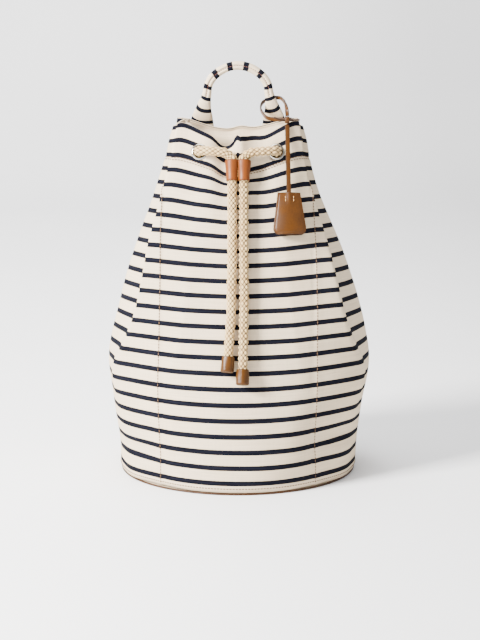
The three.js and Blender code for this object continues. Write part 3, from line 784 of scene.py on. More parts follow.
# Dents above the base: which side, depth, level and height.
DENTS = ((1, 0.0050, 0.062, 0.014), (-1, 0.0040, 0.042, 0.011))
# Swells, then wrinkles: their height, how many a metre along X, Y and Z, and the noise's start.
CRUMPLES = ((3.4 * MM, (9, 9, 7), (0, 0, 3)), (1.2 * MM, (26, 26, 17), (5, 0, 0)))


def rim_wave(s, level):
    """Extra rise or fall of the cloth, where it buckles between the two eyelets."""
    wave = sum(rise * bell_curve(s, middle, width) for middle, width, rise in BUCKLES)
    back = HALF_GIRTH - np.abs(s)
    wave += 0.004 * bell_curve(back * np.sign(s), 0.004, 0.012)
    wave *= np.exp(-np.maximum(0, RIM - level) / 0.045)
    # Between the eyelets the cord drags the hem down.
    return wave - 0.0085 * bell_curve(RIM - level, 0.036, 0.024) * bell_curve(s, 0.0, 0.030)


def relief(s, level):
    """How far the cloth stands out from the smooth shell: folds, seams, hem and soft dents."""
    from_rim = RIM - level
    along = np.abs(s)
    flat = 1 - bell_curve(along, EYELET_PLACE[0], 0.014) * bell_curve(level, EYELET_PLACE[1], 0.018)
    height = sum(rise * bell_curve(s, middle, width) for middle, width, rise in FOLDS)
    height *= np.exp(-np.maximum(0, from_rim) / 0.040)
    # The cord fills the hem, and the stitching below it and at the base pulls the cloth in.
    height += 0.0012 * bell_curve(from_rim, HEM * 0.5, HEM * 0.36) * flat
    height -= 0.0010 * bell_curve(from_rim, HEM + 0.001, 0.0026)
    height -= 0.0010 * np.exp(-(level - FLOOR_GAP) / 0.003)
    for seam in SEAMS:
        height -= 0.0013 * bell_curve(s, seam, 0.0019) * smooth_step(0.0, 0.02, from_rim)
        height += 0.0007 * bell_curve(s, seam + math.copysign(0.006, seam), 0.005)
    for side, dent, middle, width in DENTS:
        place = bell_curve(s, side * 0.150, 0.034)
        height -= dent * place * bell_curve(level, middle, width)
        height += 0.5 * dent * place * bell_curve(level, middle - 2 * width, width)
    # Gathers towards the rim, but none at the side ridges.
    pleat = 0.0021 * np.sin(s / 0.0115 + 2.2 * np.sin(s / 0.05)) * smooth_step(0.27, 0.42, level)
    return height + pleat * flat * (1 - smooth_step(0.0, 0.5, bell_curve(along, HALF_GIRTH / 2, 0.09)))


def crumple(points):
    """Slow, uneven swells and small wrinkles, the same on every run."""
    height = np.zeros(points.shape[:2])
    for size, grains, start in CRUMPLES:
        places = (points * grains + start).reshape(-1, 3)
        height += size * np.reshape([noise.noise(Vector(place)) for place in places], height.shape)
    return height


def canvas_points(levels):
    """The finished cloth's outer face."""
    base, s, level = shell_grid(levels)
    base[..., 2] += rim_wave(s, level)
    # The base seam and the cord's hem hold the cloth smooth.
    free = smooth_step(FLOOR_GAP, 0.030, level) * (1 - 0.6 * smooth_step(0.385, 0.420, level))
    height = relief(s, level) + crumple(base) * free
    return base + grid_normals(base) * height[..., None], s, level


# Round an eyelet, points nearer than "dropped" go, and those out to "reach" move clear of the hole.
HOLE = {"opens": 7.6 * MM, "dropped": 5.0 * MM, "reach": 16 * MM}
RIM_STEPS = 4               # rows that round the rim from the outer face to the inner one


def hole_places(s, level):
    """(cloth places moved outwards round each eyelet, which points the hole takes out)"""
    opens, dropped, reach = HOLE["opens"], HOLE["dropped"], HOLE["reach"]
    cut = np.zeros(s.shape, bool)
    moved_s, moved_level = s.copy(), level.copy()
    for side in SIDES:
        ds, dl = s - side * EYELET_PLACE[0], level - EYELET_PLACE[1]
        distance = np.hypot(ds, dl)
        gone = distance < dropped
        edge = np.zeros(s.shape, bool)
        for j, i in zip(*np.nonzero(gone)):
            edge[j - 1 : j + 2, i - 1 : i + 2] = True
        wanted = opens + (reach - opens) * (distance - dropped) / (reach - dropped)
        wanted = np.where(edge, opens, wanted)
        moved = (distance < reach) & ~gone
        scale = np.where(moved, wanted / np.maximum(distance, 1e-6), 1.0)
        moved_s = np.where(moved, side * EYELET_PLACE[0] + ds * scale, moved_s)
        moved_level = np.where(moved, EYELET_PLACE[1] + dl * scale, moved_level)
        cut |= gone
    return moved_s, moved_level, cut


def canvas_layers(points, normals, up):
    """(rows of points, height up the cloth of each) over the outer face, the rim and the inner."""
    rim, rim_up = [], []
    for angle in np.linspace(0, math.pi, RIM_STEPS + 2)[1:-1]:
        rise = CLOTH / 2 * math.sin(angle)
        rim.append(points[-1] - normals[-1] * (CLOTH / 2 * (1 - math.cos(angle))) + (0, 0, rise))
        rim_up.append(up[-1] + rise)
    inner = (points - normals * CLOTH)[::-1]
    return np.concatenate([points, rim, inner]), np.concatenate([up, rim_up, up[::-1]])


def canvas_faces(cloth_s, heights, gone, rows):
    """(faces, cloth place of each face corner, material slot of each face) over the layers."""
    total, columns = cloth_s.shape
    inner_from = total - rows
    faces, uv, slots = [], [], []

    def add_face(ring, beside, slot):
        faces.append(tuple(j * columns + i for j, i in ring))
        for place in ring:
            u = cloth_s[place]
            uv.append((u + 2 * HALF_GIRTH * round((beside - u) / (2 * HALF_GIRTH)), heights[place]))
        slots.append(slot)

    opened = {}
    for j in range(total):
        below = (j + 1) % total
        for i in range(columns):
            right = (i + 1) % columns
            ring = ((j, i), (j, right), (below, right), (below, i))
            if any(gone[place] for place in ring):
                opened.update(dict.fromkeys(zip(ring, ring[1:] + ring[:1])))
            else:
                add_face(ring, cloth_s[j, i], 1 if j >= inner_from else 0)
    # The hole's wall joins the outer layer's open edges to the same edges of the inner layer.
    for a, b in opened:
        if (b, a) not in opened and a[0] < inner_from and not (gone[a] or gone[b]):
            inside = [(total - 1 - j, i) for j, i in (b, a)]
            add_face((a, b, *inside), cloth_s[a], 1)
    return faces, uv, slots


def make_canvas(paint, lining):
    points, s, level = canvas_points(LEVELS)
    shell = Shell(points, s, LEVELS)
    moved_s, moved_level, cut = hole_places(s, level)
    normals = shell.normals.copy()
    for j, i in zip(*np.nonzero((moved_s != s) | (moved_level != level))):
        place = moved_s[j, i], moved_level[j, i]
        points[j, i], normals[j, i] = shell.at(*place), shell.normal(*place)
    grid, heights = canvas_layers(points, normals, cloth_height(moved_level))
    cloth_s = np.vstack([moved_s, *[moved_s[-1:]] * RIM_STEPS, moved_s[::-1]])
    gone = np.vstack([cut, np.zeros((RIM_STEPS, s.shape[1]), bool), cut[::-1]])
    faces, uv, slots = canvas_faces(cloth_s, heights, gone, len(LEVELS))
    used, packed = np.unique(np.array(faces), return_inverse=True)
    faces = packed.reshape(len(faces), 4).tolist()
    obj = mesh_object("canvas_shell", grid.reshape(-1, 3)[used], faces, [paint, lining], uv)
    obj.data.polygons.foreach_set("material_index", slots)
    fit(obj, "bag", "striped_canvas", "front_panel", "back_panel", "side_panel_left", "side_panel_right")
    return shell


# ---------------------------------------------------------------- stitches

# One stitch: share of its length, its size there and how far it is raised.
STITCH_SHAPE = ((0.0, 0.25, -0.2), (0.2, 0.8, 0.35), (0.5, 1.0, 0.55), (0.8, 0.8, 0.35), (1.0, 0.25, -0.2))
STITCH_SIDES = 6


def stitch_row(path, normals, length, gap, thickness):
    """One short rounded stitch after another along a line on the cloth."""
    run = lengths_along(path)

    def read(values, at):
        return np.array([np.interp(at, run, values[:, k]) for k in range(3)])

    one_stitch = grid_faces(len(STITCH_SHAPE), STITCH_SIDES, wrap_columns=True)
    one_stitch.append(tuple(reversed(range(STITCH_SIDES))))
    one_stitch.append(tuple(STITCH_SIDES * (len(STITCH_SHAPE) - 1) + i for i in range(STITCH_SIDES)))
    points, faces = [], []
    for k in range(int((run[-1] - gap) // (length + gap))):
        faces += shifted(one_stitch, len(points))
        for share, size, lift in STITCH_SHAPE:
            at = gap + k * (length + gap) + share * length
            middle, normal = read(path, at), unit(read(normals, at))
            side = np.cross(unit(read(path, at + 0.3 * MM) - middle), normal)
            for a in full_turn(STITCH_SIDES):
                offset = side * math.cos(a) * size + normal * (math.sin(a) * size * 0.7 + lift)
                points.append(middle + offset * thickness / 2)
    return points, faces


def stitches(name, rows, paint, body, length=2.4 * MM, gap=0.9 * MM, thickness=0.7 * MM):
    """One piece from rows, which are (path, normals) pairs. With no body, it is left unattached."""
    points, faces = [], []
    for path, normals in rows:
        more_points, more_faces = stitch_row(path, normals, length, gap, thickness)
        faces += shifted(more_faces, len(points))
        points += more_points
    obj = mesh_object(name, points, faces, [paint])
    if body:
        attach(obj, body)
    return obj


def on_shell(shell, places, lift=0.15 * MM):
    path = np.array([shell.at(s, level) for s, level in places])
    normals = np.array([shell.normal(s, level) for s, level in places])
    return path + normals * lift, normals


def make_shell_stitches(shell, paint):
    rows = []
    up = np.linspace(6 * MM, RIM - 1 * MM, 140)
    for seam in SEAMS:
        beside = seam + math.copysign(4.2 * MM, seam)
        rows.append(on_shell(shell, [(beside, level) for level in up]))
    around = np.linspace(-HALF_GIRTH, HALF_GIRTH, 400)
    for level in (RIM - HEM, RIM - HEM - 2.8 * MM, 8.5 * MM):
        rows.append(on_shell(shell, [(s, level) for s in around]))
    stitches("canvas_stitching", rows, paint, "bag", 3.0 * MM, 0.8 * MM, 1.2 * MM)


# ---------------------------------------------------------------- sheets and strips

RIM_ROUND = 0.28       # share of a sheet's thickness by which its faces stop short of its rim


def closed_sheet(name, grid, thickness, paint, wrap_columns=False, uv=None, edge_width=0.0):
    """A solid sheet: the grid is its outer face, and the inner face lies a thickness behind it.
    Its rim is rounded, and its edge attribute is 1 within edge_width of an open side."""
    rows, columns = grid.shape[:2]
    normals = grid_normals(grid, wrap_columns)
    tuck = np.zeros(grid.shape)
    tuck[0] += unit(grid[1] - grid[0])
    tuck[-1] += unit(grid[-2] - grid[-1])
    if not wrap_columns:
        tuck[:, 0] += unit(grid[:, 1] - grid[:, 0])
        tuck[:, -1] += unit(grid[:, -2] - grid[:, -1])
    outer = grid + tuck * RIM_ROUND * thickness
    middle = grid - normals * thickness / 2
    points = [outer.reshape(-1, 3), (outer - normals * thickness).reshape(-1, 3)]
    shift = rows * columns
    face_grid = grid_faces(rows, columns, wrap_columns=wrap_columns)
    faces = face_grid + shifted(turned_over(face_grid), shift)
    loops = [[(0, i) for i in range(columns)], [(rows - 1, i) for i in reversed(range(columns))]]
    if not wrap_columns:
        first, last = loops
        down = [(j, columns - 1) for j in range(rows - 1)]
        loops = [first[:-1] + down + last[:-1] + [(j, 0) for j in reversed(range(1, rows))]]
    count = 2 * shift
    for loop in loops:
        points.append(np.array([middle[place] for place in loop]))
        for k, place in enumerate(loop):
            after = (k + 1) % len(loop)
            a, b = (j * columns + i for j, i in (place, loop[after]))
            faces.append((b, a, count + k, count + after))
            faces.append((count + after, count + k, shift + a, shift + b))
        count += len(loop)
    near = np.ravel(side_distance(grid, wrap_columns) < edge_width).astype(float)
    edge = np.concatenate([near, near, np.ones(count - 2 * shift)])
    corners = None
    if uv is not None:
        faces_uv = uv.reshape(-1, 2)
        rim_uv = [uv[place] for loop in loops for place in loop]
        corners = np.vstack([faces_uv, faces_uv, rim_uv])[np.concatenate(faces)]
    return mesh_object(name, np.vstack(points), faces, [paint], corners, {"edge": edge})


def side_distance(grid, wrap_columns):
    """About how far each point of a grid lies from the nearest open side."""
    def steps_in(axis):
        steps = np.arange(grid.shape[axis])
        return np.minimum(steps, steps[::-1]) * np.linalg.norm(np.diff(grid, axis=axis), axis=2).mean()

    away = np.broadcast_to(steps_in(0)[:, None], grid.shape[:2])
    return away if wrap_columns else np.minimum(away, steps_in(1))


def strip_grid(line, across, width, columns, crown):
    """The outer face of a strap whose middle runs down the line, a width across."""
    tangents = unit(np.gradient(line, axis=0))
    across = unit(across - tangents * (across * tangents).sum(axis=1, keepdims=True))
    out = np.cross(tangents, across)
    places = np.linspace(-0.5, 0.5, columns)
    widths = np.broadcast_to(width, len(line))
    grid = line[:, None] + across[:, None] * (places[None, :, None] * widths[:, None, None])
    return grid + out[:, None] * (crown * (1 - (2 * places) ** 2))[None, :, None]


# ---------------------------------------------------------------- inside the mouth

# The facing is the tunnel's inner wall: the same line round the mouth as in the CAD.
FACING_LINE = (
    (0, -0.0325), (0.028, -0.0315), (0.039, -0.024), (0.045, -0.012), (0.0475, 0),
    (0.0435, 0.0085), (0.032, 0.0155), (0, 0.020),
)


FACING_CENTRE = (0, -0.006)
FACING_DEPTH = 45 * MM      # its foot, below the rim
# Its rows from the foot up: share of the way from the cloth to the wall, and height.
FACING_ROWS = ((0.75, 0.004), (1.0, 0.010), (1.0, 0.017), (1.0, 0.0235))
FACING_RETURN = (0.65, 0.028)


def make_facing(shell, paint):
    mirrored = [(-x, y) for x, y in FACING_LINE[-2:0:-1]]
    line = [(x, y, 0) for x, y in (*FACING_LINE, *mirrored, FACING_LINE[0])]
    centre = np.array((*FACING_CENTRE, 0))
    from_centre = curve_through(line, 1.5 * MM) - centre
    angles = np.unwrap(np.arctan2(from_centre[:, 1], from_centre[:, 0]))
    places = np.linspace(-HALF_GIRTH, HALF_GIRTH, 180, endpoint=False)
    behind = CLOTH + 0.3 * MM

    def under_cloth(level):
        return np.array([shell.at(s, level) - shell.normal(s, level) * behind for s in places])

    def row(share, lift, source):
        points = source + (wall - source) * share
        points[:, 2] = foot[:, 2] + lift
        return points

    top, foot = under_cloth(RIM - 3 * MM), under_cloth(RIM - FACING_DEPTH)
    around = np.unwrap(np.arctan2(top[:, 1] - centre[1], top[:, 0] - centre[0]))
    wrapped = angles[0] + np.mod(around - angles[0], 2 * math.pi)
    radius = np.interp(wrapped, angles, np.linalg.norm(from_centre, axis=1))
    outwards = np.column_stack([np.cos(around), np.sin(around), np.zeros(len(around))])
    wall = centre + radius[:, None] * outwards
    rows = [foot, *(row(share, lift, foot) for share, lift in FACING_ROWS)]
    high = row(*FACING_RETURN, top)
    high[:, 2] = np.minimum(high[:, 2], top[:, 2] - 1.5 * MM)
    rows += [high, top]
    uv = np.stack(np.meshgrid(places, np.linspace(0, 50 * MM, len(rows))), axis=2)
    facing = closed_sheet(
        "tunnel_facing", np.array(rows)[:, ::-1], 1.2 * MM, paint, wrap_columns=True, uv=uv,
    )
    fit(facing, "bag", "plain_canvas", "hem_facing")


# The cord inside the tunnel, from behind an eyelet to the middle of the back.
HIDDEN_HALF = (
    (0.0525, -0.0240, 0.408), (0.0555, -0.0120, 0.409), (0.0560, 0.0020, 0.410),
    (0.0525, 0.0130, 0.410), (0.0420, 0.0215, 0.410), (0.0220, 0.0260, 0.410),
)


def make_hidden_cord(paint):
    route = []
    for side in SIDES:
        centre, normal = EYELETS[side]
        half = [centre + normal * (CORD_JOINT - depth) for depth in (0.4 * MM, 5 * MM)]
        half += [(side * x, y, z) for x, y, z in HIDDEN_HALF]
        route += half if side < 0 else [(0, 0.0275, 0.410), *reversed(half)]
    rope, _ = braided_rope("rope_in_hem", route, paint, step=1.6 * MM, sides=32)
    fit(rope, "bag", "rope", "drawcord_in_hem")


# ---------------------------------------------------------------- metal, slider and end caps

ROPE_HOLE = 6.45 * MM


def turned_ring(name, outline, sides, round_edge, place, paint, node):
    points, faces = lathe(rounded(outline, round_edge), sides)
    # Painted shade: points near the rope hole are marked, and the metal paint darkens them.
    shaded_throat = [float(math.hypot(x, y) < ROPE_HOLE + 0.9 * MM) for x, y, _ in points]
    ring = mesh_object(name, points, turned_over(faces), [paint], attributes={"shaded_throat": shaded_throat})
    ring.matrix_world = place
    fit(ring, "bag", "eyelet_metal", node)


def make_eyelets(paint):
    """Each eyelet is a rolled flange with a barrel through the cloth, and a washer behind it."""
    barrel, flange = 7.2 * MM, 10.3 * MM
    stand_off = 0.9 * MM
    crown = stand_off + 1.8 * MM
    washer_top = -CLOTH - stand_off
    washer_foot = washer_top - 1.2 * MM
    bore = barrel + 0.4 * MM
    front = (
        (ROPE_HOLE, washer_foot), (barrel, washer_foot), (barrel, stand_off),
        (flange, stand_off - 0.5 * MM), (flange, stand_off + 0.7 * MM), (flange - 1.6 * MM, crown),
        (ROPE_HOLE + 1.3 * MM, crown), (ROPE_HOLE, stand_off + 0.2 * MM),
    )
    washer = ((bore, washer_foot), (flange, washer_foot), (flange, washer_top), (bore, washer_top))
    for side, name in SIDES.items():
        centre, normal = EYELETS[side]
        place = frame_from(normal, (1, 0, 0), centre)
        turned_ring(f"grommet_{name}", front, 64, 0.6 * MM, place, paint, f"eyelet_{name}")
        turned_ring(f"grommet_washer_{name}", washer, 48, 0.3 * MM, place, paint, f"eyelet_washer_{name}")


SLIDER_WALL = {"top": 8.75 * MM, "taper": 1.65 * MM, "bulge": 0.10 * MM, "end": 0.8 * MM}


def slider_reaches(down):
    """(outer radius, inner radius, distance to the nearer end) of a tube, down from its top."""
    height, t = SLIDER["height"], down / SLIDER["height"]
    end = min(down, height - down)
    rounding = 1 - smooth_step(0, SLIDER_WALL["end"], end)
    outer = SLIDER_WALL["top"] - SLIDER_WALL["taper"] * smooth_step(0, 0.9, t)
    outer += SLIDER_WALL["bulge"] * math.sin(9 * t) - 0.45 * MM * rounding
    return outer, ROPE_HOLE + (0.35 * rounding - 0.15) * MM, end


def make_slider(paint, thread):
    """Two rolled leather tubes that meet in a stitched valley, wider at the top."""
    height, sides, half = SLIDER["height"], 56, TAIL_SPACING / 2
    place = basis(
        (1, 0, 0), travel_out, travel_axis, travel_top + travel_axis * SLIDER["rests_at"],
    )
    end_rows = np.array((0, 0.25 * MM, 0.8 * MM))
    rows = [*end_rows, *np.linspace(2 * MM, height - 2 * MM, 11), *(height - end_rows[::-1])]
    angles = full_turn(sides)
    points, faces, edge = [], [], []
    for side in SIDES:
        tube = grid_faces(2 * len(rows), sides, wrap_rows=True, wrap_columns=True)
        faces += shifted(tube if side < 0 else turned_over(tube), len(points) * sides)
        walls = [(down, 0, 0.12 * MM) for down in rows] + [(down, 1, 0.4 * MM) for down in reversed(rows)]
        for down, wall, middle_gap in walls:
            reaches = slider_reaches(down)
            x = np.maximum(half + reaches[wall] * np.cos(angles), middle_gap)
            y = reaches[wall] * np.sin(angles)
            points.append(np.column_stack([side * x, y, np.full(sides, down)]))
            edge.append(np.full(sides, float(reaches[2] < 0.3 * MM)))
    edge = np.concatenate(edge)
    slider = mesh_object("leather_slider", np.vstack(points), faces, [paint], attributes={"edge": edge})
    slider.matrix_world = place
    fit(slider, "slider", "slider_leather", "cord_slider")
    valley = [(0, 3.4 * MM, down) for down in np.linspace(1.5 * MM, height - 1.5 * MM, 30)]
    path = np.array([place @ Vector(point) for point in valley])
    normals = np.tile(travel_out, (len(path), 1))
    stitches("slider_stitching", [(path, normals)], thread, "slider")


CAP = {"radius": 8.3 * MM, "height": 19 * MM, "bore": 15 * MM, "round": 2.2 * MM, "foot": 1.7 * MM}
CAP_LAP = {-1: -1.05, 1: -1.9}      # where round the cap its leather overlaps, in radians


def cap_outline():
    """A cap's (radius, height) outline: up its outside from the foot, then down its bore."""
    radius, height, floor = CAP["radius"], CAP["height"], CAP["height"] - CAP["bore"]
    flat, foot, bore = radius - CAP["round"], CAP["foot"], ROPE_HOLE - 0.1 * MM
    outline = [(0.02 * radius, 0), (0.5 * radius, 0), (flat, 0)]
    outline += [
        (flat + CAP["round"] * math.sin(a), foot * (1 - math.cos(a)))
        for a in np.linspace(0.3, math.pi / 2, 5)
    ]
    outline += [
        (radius - 0.5 * MM * smooth_step(0.3, 1.0, t), foot + t * (height - 2.6 * MM))
        for t in np.linspace(0.08, 1, 12)
    ]
    outline += [(radius - 0.9 * MM, height - 0.2 * MM), (ROPE_HOLE + 0.5 * MM, height)]
    return outline + [(bore, height - 0.6 * MM), (bore, floor), (0.02 * radius, floor)]


def make_end_caps(paint):
    radius, height, sides = CAP["radius"], CAP["height"], 72
    for side, name in SIDES.items():
        *_, before, end = tail_route(side)
        axis = unit(end - before)
        points, edge = [], []
        for r, h in cap_outline():
            share = smooth_step(0.5 * radius, radius, r) * (1 if h < height - 0.4 * MM else 0.3)
            for a in full_turn(sides):
                away = (a - CAP_LAP[side] + math.pi) % (2 * math.pi) - math.pi
                lap = 0.55 * MM * smooth_step(-0.06, 0.06, away) * math.exp(-max(away, 0) / 0.9)
                flute = 0.16 * MM * math.sin(5 * a + side + 3 * h / height)
                reach = r + (lap + flute - 0.3 * MM) * share
                points.append((reach * math.cos(a), reach * math.sin(a), h))
                edge.append(float(h > height - 0.7 * MM or abs(away) < 0.05 and share > 0.9))
        faces = turned_over(grid_faces(len(points) // sides, sides, wrap_rows=True, wrap_columns=True))
        cap = mesh_object(CAPS[side], points, faces, [paint], attributes={"edge": edge})
        foot = end + axis * (0.4 * MM + height - CAP["bore"])
        cap.matrix_world = frame_from(-axis, (1, 0, 0), foot)
        fit(cap, "bag", "cap_leather", f"end_cap_{name}")


# ---------------------------------------------------------------- rolled handle

HANDLE_PIVOT = np.array(JOINTS["handle_fold"]["pos_m"])
GRIP = {"half_span": 0.0385, "radius": 5.5 * MM, "apex": 0.509, "squareness": 1.08}
HANDLE_GATHER = {"from": 48 * MM, "share": 0.33}    # how its stripes crowd, away from the apex
# One foot, from its sewn end up: height, distance from the middle, width and depth.
FOOT = (
    (0.398, 0.0470, 0.0160, 0.0030), (0.408, 0.0470, 0.0270, 0.0030), (0.420, 0.0465, 0.0330, 0.0032),
    (0.434, 0.0460, 0.0310, 0.0050), (0.446, 0.0447, 0.0255, 0.0080), (0.457, 0.0430, 0.0185, 0.0100),
    (0.468, 0.0405, 0.0128, 0.0108),
)


def handle_line():
    """(centre line, width, depth) of the whole handle from the left foot to the right one."""
    foot = []
    for z, x, width, depth in FOOT:
        s, level = smooth_shell.place_at(x, min(z, 0.420), behind=True)
        on_cloth = smooth_shell.at(s, level)[1] + 2.7 * MM
        y = on_cloth + (HANDLE_PIVOT[1] - on_cloth) * smooth_step(0.424, 0.456, z)
        foot.append((x, y, z, width, depth))
    rise, round_grip = GRIP["apex"] - HANDLE_PIVOT[2], 2 * GRIP["radius"]
    arch = []
    for angle in np.linspace(math.pi, 0, 25):
        c, s = math.cos(angle), max(0.0, math.sin(angle))
        x = math.copysign(GRIP["half_span"] * abs(c) ** GRIP["squareness"], c)
        z = HANDLE_PIVOT[2] + rise * s ** GRIP["squareness"]
        arch.append((x, HANDLE_PIVOT[1], z, round_grip, round_grip))
    table = np.array([(-x, *rest) for x, *rest in foot] + arch + foot[::-1])
    line = curve_through(table[:, :3], 1.5 * MM)
    run = lengths_along(table[:, :3])
    at = np.linspace(0, run[-1], len(line))
    return line, np.interp(at, run, table[:, 3]), np.interp(at, run, table[:, 4])


def handle_directions(line):
    """(across, front) down the handle. Its feet turn to lie along the back's slope."""
    middle, apart, level = 0.047, 0.030, 0.415
    outer, inner = (
        smooth_shell.at(*smooth_shell.place_at(middle + x, level, behind=True))[1]
        for x in (apart / 2, -apart / 2)
    )
    turned = (outer - inner) / apart * np.sign(line[:, 0]) * smooth_step(0.455, 0.425, line[:, 2])
    front = unit(np.column_stack([turned, np.full(len(line), -1), np.zeros(len(line))]))
    tangents = unit(np.gradient(line, axis=0))
    across = unit(np.cross(front, tangents))
    return across, np.cross(tangents, across)


def handle_skin(line, widths, depths, across, front, in_grip, sides=44):
    """(rings of points, cloth place of each) of the rolled canvas."""
    run = lengths_along(line)[:, None]
    from_apex = np.abs(run - run[-1] / 2)
    off_middle = np.abs(line[:, :1])
    grip, width, depth = in_grip[:, None], widths[:, None], depths[:, None]
    turn = 2 * math.pi / sides * np.arange(-sides // 2, sides // 2)
    crease = 1.9 * MM * np.exp(-((turn / 0.24) ** 2)) * grip
    wobble = 0.12 * MM * np.sin(run / 0.006 + 2 * turn) * grip
    x = np.sin(turn) * (width / 2 + wobble)
    y = np.cos(turn) * (depth / 2 + wobble) - crease
    rings = line[:, None] + x[..., None] * across[:, None] + y[..., None] * front[:, None]
    # The stripes fan out on the feet, and don't quite meet across the grip's closure.
    outer = np.sign(line[:, :1]) * np.sign(across[:, :1]) * np.sin(turn)
    fan = np.where(outer > 0, 5.2 * MM, 1.6 * MM) * np.sin(turn) ** 2 * (1 - grip)
    shift = 1.3 * MM * grip * (outer < 0) * smooth_step(4 * MM, 20 * MM, off_middle)
    gather = HANDLE_GATHER["share"] * np.maximum(0.0, from_apex - HANDLE_GATHER["from"])
    along = from_apex + gather + fan - shift
    around = turn * np.maximum(width, 2 * GRIP["radius"]) / 2
    return rings, np.stack([around, along], axis=2)


def make_handle(paint, thread):
    line, widths, depths = handle_line()
    across, front = handle_directions(line)
    in_grip = smooth_step(0.462, 0.474, line[:, 2])
    rings, uv = handle_skin(line, widths, depths, across, front, in_grip)
    points, faces = capped_tube(rings, [line[0], line[-1]])
    closed = np.concatenate([uv, uv[:, :1] + np.array((2 * math.pi * GRIP["radius"], 0))], axis=1)
    corners = np.stack([closed[:-1, :-1], closed[:-1, 1:], closed[1:, 1:], closed[1:, :-1]], axis=2)
    ends = [uv[0, 0]] * 3 * rings.shape[1] + [uv[-1, 0]] * 3 * rings.shape[1]
    handle = mesh_object("rolled_handle", points, faces, [paint], np.vstack([corners.reshape(-1, 2), ends]))
    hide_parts("handle_foot_left", "handle_foot_right", "handle_grip")
    closure = in_grip > 0.5
    path = line[closure] + front[closure] * (GRIP["radius"] - 1.7 * MM)
    rows = [(path, front[closure])]
    seam = stitches("handle_closure", rows, thread, None, 2.2 * MM, 0.8 * MM, 0.8 * MM)
    for piece in (handle, seam):
        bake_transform(piece)
    hems = []
    for side in SIDES:
        foot = (line[:, 2] > 0.402) & (line[:, 2] < 0.424) & (np.sign(line[:, 0]) == side)
        on_back = line[foot] - front[foot] * (depths[foot] * 0.42)[:, None]
        for share in (-0.36, 0.36):
            path = on_back + across[foot] * (widths[foot] * share)[:, None]
            hems.append((path, -front[foot]))
    stitches("handle_foot_stitching", hems, thread, "bag")


# ---------------------------------------------------------------- strap, loop and key bell

hang_pivot = np.array(JOINTS["strap_swing"]["pos_m"])
hang_out = unit(JOINTS["strap_swing"]["axis"])
hang_down = -unit(JOINTS["bell_up_strap"]["axis"])
hang_side = np.cross(hang_down, hang_out)
STRAP = {"width": 5.7 * MM, "thickness": 2.4 * MM}
LOOP_THICKNESS = 1.9 * MM
LOOP_TURNS = 0.12           # share of the loop over which it twists upright
BELL = {"start": 0.084, "height": 0.0526, "leather": 1.8 * MM, "gap": 0.4 * MM}
RING_EYE_DROP = BELL["start"] + 0.016


def in_hang(drop, out=0.0, across=0.0):
    return hang_pivot + hang_down * drop + hang_out * out + hang_side * across


# Round the handle's neck the same way as the CAD loop, with a start that meets the eye.
LOOP_ROUTE = (
    (0.0605, -0.0350, 0.4506), (0.0604, -0.0342, 0.4535), (0.0600, -0.0325, 0.4580),
    (0.0580, -0.0160, 0.4650), (0.0550, 0.0080, 0.4680), (0.0515, 0.0280, 0.4685),
    (0.0420, 0.0370, 0.4675), (0.0320, 0.0315, 0.4630), (0.0285, 0.0170, 0.4565),
    (0.0320, -0.0020, 0.4500), (0.0375, -0.0170, 0.4465), (0.0470, -0.0265, 0.4460),
    (0.0560, -0.0285, 0.4460), (0.0660, -0.0285, 0.4460),
)
LOOP_TAIL_ROUTE = (
    (0.0440, -0.0330, 0.4485), (0.0520, -0.0349, 0.4466), (0.0605, -0.0355, 0.4460),
    (0.0760, -0.0360, 0.4460),
)


def strap_piece(name, line, across, width, thickness, paint):
    """A strip of leather, a little domed across, whose middle runs down the line."""
    grid = strip_grid(line, across, width, columns=9, crown=0.25 * MM)
    outer = grid + grid_normals(grid, closed=False) * thickness / 2
    return closed_sheet(name, outer, thickness, paint, edge_width=0.45 * MM)


def make_loop(paint):
    """The loop round the handle's neck, which turns upright on leaving the eye, and its tail."""
    line = curve_through(LOOP_ROUTE, 0.8 * MM)
    share = np.linspace(0, 1, len(line))[:, None]
    sideways, turned, upright = np.array(((1.0, 0, 0), (0.2, -0.4, 1.0), (0, -0.25, 1.0)))
    turning = sideways + (turned - sideways) * np.clip(share / LOOP_TURNS, 0, 1)
    across = np.where(share < LOOP_TURNS, turning, upright)
    loop = strap_piece("strap_loop", line, across, 5.0 * MM, LOOP_THICKNESS, paint)
    line = curve_through(LOOP_TAIL_ROUTE, 0.8 * MM)
    across = np.tile((0, 1.0, 0.12), (len(line), 1))
    tail = strap_piece("strap_loop_tail", line, across, 4.4 * MM, LOOP_THICKNESS, paint)
    fit(loop, "bag", "strap_leather", "key_loop")
    fit(tail, "bag", "strap_leather", "key_loop_tail")


def make_eye(paint):
    """The folded eye: leather wrapped once round the loop's tail."""
    centre = np.array(JOINTS["strap_lift"]["pos_m"])
    half, outer, inner, rounding = STRAP["width"] / 2, 4.3 * MM, 2.95 * MM, 0.4 * MM
    # Distance across, radius, and whether the leather is burnished there.
    section = (
        (-half, inner + 0.2 * MM, 1), (-half, outer - rounding, 1), (-half + rounding, outer, 0),
        (0, outer + 0.1 * MM, 0), (half - rounding, outer, 0), (half, outer - rounding, 1),
        (half, inner + 0.2 * MM, 1), (half - 0.3 * MM, inner, 1), (-half + 0.3 * MM, inner, 1),
    )
    sides = 40
    points = [
        centre + np.array((across, r * math.cos(a), r * math.sin(a)))
        for across, r, _ in section for a in full_turn(sides)
    ]
    faces = grid_faces(len(section), sides, wrap_rows=True, wrap_columns=True)
    edge = np.repeat([burnished for *_, burnished in section], sides)
    eye = mesh_object("strap_keeper", points, faces, [paint], attributes={"edge": edge})
    fit(eye, "strap_pivot", "strap_leather", "strap_eye")


